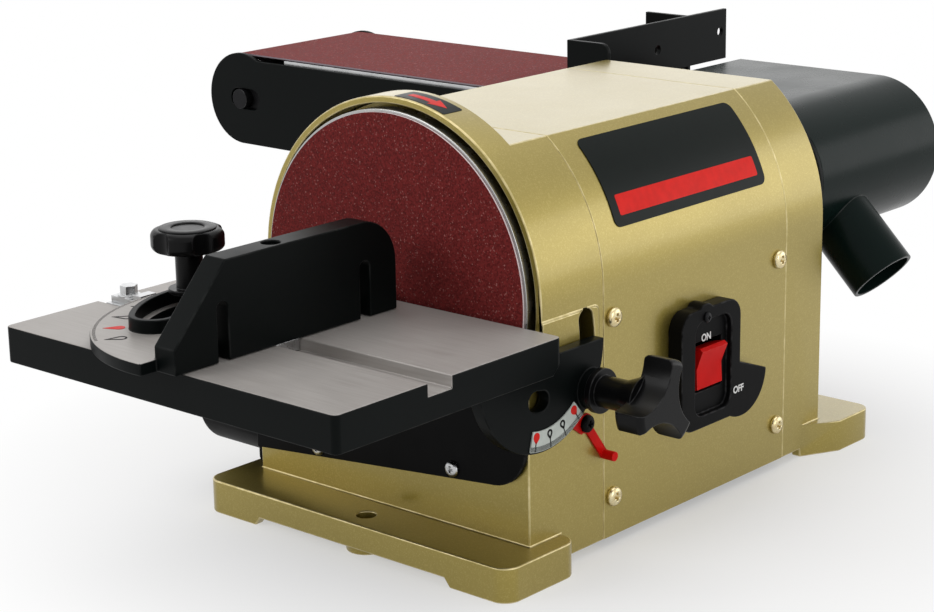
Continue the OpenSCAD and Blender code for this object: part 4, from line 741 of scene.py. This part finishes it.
def pan_head(radius):
    """A domed screw head with a cross recess, standing on Z = 0"""
    rise = HEAD_RISE * radius
    bm = bmesh.new()
    rings = turned(bm, Vector(), [(radius * r, rise * z) for r, z in HEAD_PROFILE], HEAD_SIDES)
    bm.faces.new(rings[-1])
    bm.faces.new(rings[0][::-1])
    head = put("pan_head", mesh_of(bm, "pan_head"))
    bm = bmesh.new()
    for turn in (0, 90):
        made = bmesh.ops.create_cube(bm, size=1.0)
        for v in made["verts"]:
            length, z = (CROSS_LENGTH[0], CROSS_TOP) if v.co.z > 0 else (CROSS_LENGTH[1], CROSS_FLOOR)
            v.co = Vector((v.co.x * length * radius, v.co.y * CROSS_WIDTH * radius, z * rise))
        bmesh.ops.rotate(bm, verts=made["verts"], matrix=Matrix.Rotation(math.radians(turn), 3, "Z"))
    recess = put("cross_recess", mesh_of(bm, "cross_recess"))
    cut = head.modifiers.new("recess", "BOOLEAN")
    cut.object = recess
    cut.operation = "DIFFERENCE"
    cut.use_self = True
    done = evaluated_mesh(head)
    for thing in (head, recess):
        bpy.data.objects.remove(thing)
    return done


def screw_pattern(finish):
    """Sets a screw head on every point, along the point's facing"""
    tree = Pattern("screw_heads", finish, Head="Object")
    facing = tree.add("GeometryNodeInputNamedAttribute", data_type="FLOAT_VECTOR")
    align = tree.add("FunctionNodeAlignRotationToVector", axis="Z")
    shape = tree.add("GeometryNodeObjectInfo")
    place = tree.add("GeometryNodeInstanceOnPoints")
    tree.feed(facing, "Name", "facing")
    tree.feed(align, "Vector", facing.outputs["Attribute"])
    tree.feed(shape, "Object", tree.start["Head"])
    tree.feed(place, "Points", tree.start["Geometry"])
    tree.feed(place, "Instance", shape.outputs["Geometry"])
    tree.feed(place, "Rotation", align.outputs["Rotation"])
    tree.end(place.outputs["Instances"])
    return tree


def screw_heads(name, places, head_r, finish):
    """One mesh of screw heads, each at a place and facing a way"""
    points = bpy.data.meshes.new(name + "_points")
    points.from_pydata([at for at, _ in places], [], [])
    facing = points.attributes.new("facing", "FLOAT_VECTOR", "POINT")
    for i, (_, way) in enumerate(places):
        facing.data[i].vector = way
    head = bpy.data.objects.new("screw_head", pan_head(head_r))
    mesh = screw_pattern(finish).grow(points, Head=head)
    bpy.data.objects.remove(head)
    mesh.name = name
    return mesh


def screws(name, axis, head_r, finish, side=0):
    """Stands for a CAD node of screws; side 0 has them face away from the middle of the machine"""
    places = []
    for low, high in islands(name):
        out = side or (1 if low[axis] + high[axis] > 0 else -1)
        at = (low + high) / 2
        at[axis] = (high if out > 0 else low)[axis] - out * HEAD_RISE * head_r
        way = Vector((0, 0, 0))
        way[axis] = out
        places.append((at, way))
    mesh = screw_heads(name + "_heads", places, head_r, finish)
    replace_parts(new_piece(mesh.name, mesh, BODY_OF[name], SLOT_OF[name]), name)


def add_screws():
    """Screw heads with cross recesses, by the axis they lie along, their radius and the side they face"""
    steel = FINISHES["steel"]
    screws("cover_screws", X, 4.5 * MM, YELLOW_ZINC)
    screws("guard_screws", Y, 3.6 * MM, steel, -1)
    screws("hood_screws", Y, 3.5 * MM, steel, 1)
    screws("stop_screws", Y, 4 * MM, steel, 1)
    screws("pointer_screw", X, 4 * MM, FINISHES["black_plastic"], 1)


def dial_pattern(finish):
    """Lays copies of a mark round an arc about +Z, each turned to its angle"""
    tree = Pattern("dial_marks", finish, Mark="Object", Count="Int", Radius="Float", Start="Float",
                   Step="Float")
    line, index = tree.add("GeometryNodeMeshLine"), tree.add("GeometryNodeInputIndex")
    turn = tree.add("ShaderNodeMath", operation="MULTIPLY_ADD")
    spot, spin = tree.add("ShaderNodeCombineXYZ"), tree.add("ShaderNodeCombineXYZ")
    rotate = tree.add("ShaderNodeVectorRotate", rotation_type="Z_AXIS")
    move = tree.add("GeometryNodeSetPosition")
    shape = tree.add("GeometryNodeObjectInfo")
    place = tree.add("GeometryNodeInstanceOnPoints")
    for node, socket, value in ((line, "Count", tree.start["Count"]),
                                (turn, 0, index.outputs["Index"]),
                                (turn, 1, tree.start["Step"]),
                                (turn, 2, tree.start["Start"]),
                                (spot, "X", tree.start["Radius"]),
                                (rotate, "Vector", spot.outputs["Vector"]),
                                (rotate, "Angle", turn.outputs["Value"]),
                                (spin, "Z", turn.outputs["Value"]),
                                (move, "Geometry", line.outputs["Mesh"]),
                                (move, "Position", rotate.outputs["Vector"]),
                                (shape, "Object", tree.start["Mark"]),
                                (place, "Points", move.outputs["Geometry"]),
                                (place, "Instance", shape.outputs["Geometry"]),
                                (place, "Rotation", spin.outputs["Vector"])):
        tree.feed(node, socket, value)
    tree.end(place.outputs["Instances"])
    return tree


def flat_mark(outline, height, hole=None):
    """A printed mark as a thin solid from its outline, with a hole of as many points if wanted"""
    bm = bmesh.new()
    if hole is None:
        bm.faces.new([bm.verts.new((x, y, 0)) for x, y in outline])
    else:
        outer, inner = ([bm.verts.new((x, y, 0)) for x, y in ring] for ring in (outline, hole))
        for i in range(len(outer)):
            j = (i + 1) % len(outer)
            bm.faces.new((outer[i], outer[j], inner[j], inner[i]))
    bmesh.ops.translate(bm, vec=(0, 0, height), verts=raised(bm))
    bmesh.ops.recalc_face_normals(bm, faces=bm.faces[:])
    return mesh_of(bm, "mark")


def drop_outline(r, tip):
    """A drop's outline: round about the middle, drawn out to a tip along +X"""
    start = math.acos(r / tip)
    turns = [start + (2 * math.pi - 2 * start) * i / DROP_STEPS for i in range(DROP_STEPS + 1)]
    return [(tip, 0)] + [(r * math.cos(a), r * math.sin(a)) for a in turns]


def bar_outline(length, width):
    """A bar's outline about the middle, its length along X"""
    u, v = length / 2, width / 2
    return [(-u, -v), (u, -v), (u, v), (-u, v)]


def dial(name, place, mark, count, radius, start, step, body, slot, finish):
    """Marks round an arc, from a start in steps of degrees, laid in place by a matrix"""
    shape = bpy.data.objects.new("mark", mark)
    seed = bpy.data.meshes.new("seed")
    seed.from_pydata([(0, 0, 0)], [], [])
    mesh = dial_pattern(finish).grow(seed, Mark=shape, Count=count, Radius=radius,
                                     Start=math.radians(start), Step=math.radians(step))
    bpy.data.objects.remove(shape)
    mesh.transform(place)
    mesh.name = name
    new_piece(name, mesh, body, slot)


def add_tilt_marks():
    """Degree lines on the tilt scale's outer band, rings at its steps and red spots at both ends"""
    face = basis((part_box("tilt_scale")[1].x, TILT_PIVOT.y, TILT_PIVOT.z), (0, 1, 0), (0, 0, 1))
    print_on = ("table", "white_scale")
    swing = TILT_STEP * (TILT_STEMS - 1)
    first = TILT_FIRST + (TILT_ARC - swing) / 2
    line_r, stem_r, drop_r = (TILT_RIM - inset for inset in (TILT_LINE_IN, TILT_STEM_IN, TILT_DROP_IN))
    line = flat_mark(bar_outline(*TILT_LINE), PRINT_T)
    dial("tilt_lines", face, line, TILT_ARC, line_r, TILT_FIRST + 0.5, 1, *print_on, INK_BLACK)
    stem = flat_mark(bar_outline(*TILT_STEM), 2 * PRINT_T)
    dial("tilt_stems", face, stem, TILT_STEMS, stem_r, first, TILT_STEP, *print_on, INK_BLACK)
    ring = flat_mark(drop_outline(*TILT_RING), 2 * PRINT_T, drop_outline(*TILT_RING_HOLE))
    dial("tilt_rings", face, ring, TILT_STEMS - 2, drop_r, first + TILT_STEP, TILT_STEP, *print_on,
         INK_BLACK)
    spot = flat_mark(drop_outline(*TILT_SPOT), 2 * PRINT_T)
    dial("tilt_ends", face, spot, 2, drop_r, first, swing, *print_on, INK_RED)


def add_mitre_marks():
    """Degree lines round the protractor's rim, drops at every step, red at square and at both mitres"""
    rim = SWIVEL.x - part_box("mitre_head")[0].x
    line_r, drop_r = rim - MITRE_LINE_IN, rim - MITRE_DROP_IN
    flat = basis((SWIVEL.x, SWIVEL.y, PROTRACTOR_Z), (1, 0, 0), (0, 1, 0))
    print_on = ("mitre_head", "black_paint")
    line = flat_mark(bar_outline(*MITRE_LINE), PRINT_T)
    dial("mitre_lines", flat, line, 2 * MITRE_REACH + 1, line_r, MITRE_SQUARE - MITRE_REACH, 1, *print_on,
         INK_BLACK)
    drop = drop_outline(*MITRE_DROP)
    ring = flat_mark(drop, 2 * PRINT_T, drop_outline(*MITRE_DROP_HOLE))
    for name, start, count in (("mitre_low", -MITRE_REACH, 1),
                               ("mitre_rings_left", MITRE_STEP - MITRE_ANGLE, 2),
                               ("mitre_rings_right", MITRE_STEP, 2),
                               ("mitre_high", MITRE_REACH, 1)):
        dial(name, flat, ring.copy(), count, drop_r, MITRE_SQUARE + start, MITRE_STEP, *print_on, INK_BLACK)
    spot = flat_mark(drop, 2 * PRINT_T)
    dial("mitre_stops", flat, spot, 3, drop_r, MITRE_SQUARE - MITRE_ANGLE, MITRE_ANGLE, *print_on, INK_RED)


def lettering(name, words, height, place, body, slot, finish):
    """Raised words, centred in their place"""
    curve = bpy.data.curves.new(name, "FONT")
    curve.body = words
    curve.size = height / CAPITAL_SHARE
    curve.extrude = PRINT_T
    curve.offset = STROKE_EXTRA
    curve.align_x = "CENTER"
    curve.align_y = "CENTER"
    text = put(name, curve)
    mesh = evaluated_mesh(text)
    bpy.data.objects.remove(text)
    mesh.transform(place)
    mesh.name = name
    new_piece(name, mesh, body, slot, finish)


def add_switch_details():
    """ON and OFF beside the rocker, and the small screw on the plate's bump"""
    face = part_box("switch_plate")[1].x
    for name, words, depth, y, z in SWITCH_WORDS:
        place = basis((face - depth + PRINT_T, y, z), (0, 1, 0), (0, 0, 1))
        lettering(name, words, SWITCH_LETTERS, place, "machine", "black_plastic", INK_WHITE)
    bump = (Vector((face, *SWITCH_SCREW_AT)), Vector((1, 0, 0)))
    mesh = screw_heads("switch_screw", [bump], SWITCH_SCREW_R, DARK_STEEL)
    new_piece(mesh.name, mesh, "machine", "steel")


def add_knob_ring():
    """Raised ring on the mitre knob's top, which leaves a shallow round recess inside it"""
    at = JOINT_AT["mitre_clamp"]
    bm = bmesh.new()
    turned(bm, Vector((at.x, at.y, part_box("mitre_knob")[1].z)), KNOB_RING, KNOB_RING_SIDES, closed=True)
    new_piece("mitre_knob_ring", mesh_of(bm, "mitre_knob_ring"), "mitre_knob", "black_plastic", KNOB_BLACK)


def dress_castings():
    """Painted castings, sheet covers and plates"""
    dress_all(("front_casting", "rear_casting"), CAST_EDGE)
    dress("motor_cover", SHEET_EDGE)
    dress_all(("disc_guard", "front_side_plate", "rear_side_plate", "work_stop"), SHEET_EDGE)
    dress("belt_hood", SHEET_EDGE, HOOD_BLACK)
    dress_all(("right_trunnion", "left_trunnion", "bottom_plate"), THIN_CAST_EDGE)


def dress_mouldings():
    """Black and red plastic pieces"""
    dress_all(("switch_plate", "tension_lever", "cord_gland", "dust_spout"), MOULD_EDGE)
    dress_all(("lock_knob", "mitre_knob", "tracking_knob"), KNOB_EDGE, KNOB_BLACK)
    dress_all(("switch_rocker", "tilt_pointer"), FINE_EDGE)


def dress_table():
    """Black castings whose working faces are bare metal, and the steel pieces on them"""
    bar_low, bar_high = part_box("mitre_bar")
    slot_floor, side = bar_low.z - 2 * SLIDE_GAP, SLIDE_GAP + MOULD_EDGE

    def ground_top(face):
        """What looks up, and the slot's walls"""
        at = face.calc_center_median()
        in_slot = bar_low.y - side < at.y < bar_high.y + side and abs(face.normal.x) < SLOT_END_FACING
        return at.z > slot_floor and (face.normal.z > TABLE_TOP_FACING or in_slot)

    def dial_face(face):
        """The protractor's flat top, without the raised wall and the fence"""
        off = abs(face.calc_center_median().z - PROTRACTOR_Z)
        return face.normal.z > PROTRACTOR_FACING and off < PROTRACTOR_NEAR

    dress("table", MOULD_EDGE, second=TABLE_METAL, on_second=ground_top)
    dress("mitre_head", MOULD_EDGE, second=TABLE_METAL, on_second=dial_face)
    dress_all(("mitre_bar", "mitre_pointer", "lock_stud", "pivot_pins"), FINE_EDGE)


def dress_abrasives():
    """Grit on the working face, backing on the cut edges and inside the belt's loop"""

    def paper_edge(face):
        """The disc's cut edge"""
        return abs(face.normal.y) < DISC_FACING

    def cloth(face):
        """Faces at the belt's sides, or towards the nearest point between the two rollers"""
        at = face.calc_center_median()
        axis = Vector((min(max(at.x, IDLER.x), DRUM.x), at.y, DRUM.z))
        return abs(face.normal.y) > BELT_SIDE_FACING or (at - axis).dot(face.normal) < 0

    dress("sanding_disc", FINE_EDGE, second=DISC_PAPER, on_second=paper_edge)
    dress("sanding_belt", FINE_EDGE, second=BELT_CLOTH, on_second=cloth)
    dress("disc_plate", SHEET_EDGE)


def dress_idler():
    """What carries and backs the belt"""
    dress_all(("idler_fork", "idler_axle"), FINE_EDGE, DARK_STEEL)
    dress_all(("platen", "idler_roller", "drive_drum"), FINE_EDGE)


def dress_rest():
    """The pieces inside, and those whose CAD skin needs no rounding"""
    for name, node in NODES.items():
        if not node.hide_render:
            node.data.materials.clear()
            node.data.materials.append(FINISHES[SLOT_OF[name]])


def pale_floor():
    """Pale floor that holds the shadow near the machine and fades to white away from it"""
    f = Finish("floor_pale", 0.9, Specular_IOR_Level=0.0)
    f.set("Base Color", f.tone((0.86, 0.86, 0.86), 0.4, 0.02))
    away = f.add("ShaderNodeVectorMath", operation="LENGTH")
    f.feed(away, "Vector", f.place)
    white = f.span(away.outputs["Value"], *FLOOR_FADE, FLOOR_WHITE_NEAR)
    glow = f.add("ShaderNodeEmission")
    mix = f.add("ShaderNodeMixShader")
    f.feed(mix, 0, f.sums("MULTIPLY", f.seen_straight(), white))
    f.feed(mix, 1, f.shader.outputs["BSDF"])
    f.feed(mix, 2, glow.outputs["Emission"])
    f.feed(f.tree.nodes["Material Output"], "Surface", mix.outputs["Shader"])
    return f.material


def add_stage():
    """The floor under the machine"""
    h = FLOOR_HALF
    mesh = bpy.data.meshes.new("floor")
    mesh.from_pydata([(-h, -h, 0), (h, -h, 0), (h, h, 0), (-h, h, 0)], [], [(0, 1, 2, 3)])
    mesh.materials.append(pale_floor())
    put("floor", mesh)


def add_world():
    """Soft even light from all round, white where it is seen"""
    world = bpy.data.worlds.new("studio")
    world.use_nodes = True
    bpy.context.scene.world = world
    nodes = Nodes(world.node_tree)
    sky = world.node_tree.nodes["Background"]
    nodes.feed(sky, "Color", (1, 1, 1, 1))
    nodes.feed(sky, "Strength", nodes.span(nodes.seen_straight(), 0.0, 1.0, SKY_LIGHT))


def add_lights():
    """Soft boxes aimed at the machine's middle"""
    for name, at, size, power in LAMPS:
        data = bpy.data.lights.new(name, "AREA")
        data.shape = "RECTANGLE"
        data.size, data.size_y = size
        data.energy = power
        lamp = put(name, data)
        lamp.location = at
        lamp.rotation_mode = "QUATERNION"
        lamp.rotation_quaternion = (LAMP_AIM - Vector(at)).to_track_quat("-Z", "Y")
        lamp.visible_camera = False


def add_camera():
    """The photograph's view, turned about its own line of sight by the roll"""
    az, el, roll = map(math.radians, (CAMERA_AZIMUTH, CAMERA_ELEVATION, CAMERA_ROLL))
    back = Vector((math.sin(az) * math.cos(el), -math.cos(az) * math.cos(el), math.sin(el)))
    right = Vector((math.cos(az), math.sin(az), 0))
    up = back.cross(right)
    level = math.cos(roll) * right + math.sin(roll) * up
    upright = math.cos(roll) * up - math.sin(roll) * right
    data = bpy.data.cameras.new("camera")
    data.lens = CAMERA_LENS
    data.sensor_width = CAMERA_SENSOR
    data.sensor_fit = "HORIZONTAL"
    camera = put("camera", data)
    place = Matrix((level, upright, back)).transposed().to_4x4()
    place.translation = Vector(CAMERA_AT)
    camera.matrix_world = place
    bpy.context.scene.camera = camera


add_camera()
add_stage()
add_world()
add_lights()
dress_castings()
dress_mouldings()
dress_table()
dress_abrasives()
dress_idler()
add_screws()
add_plates()
add_tilt_marks()
add_mitre_marks()
add_switch_details()
add_knob_ring()
dress_rest()

bpy.context.scene.view_settings.view_transform = "Standard"
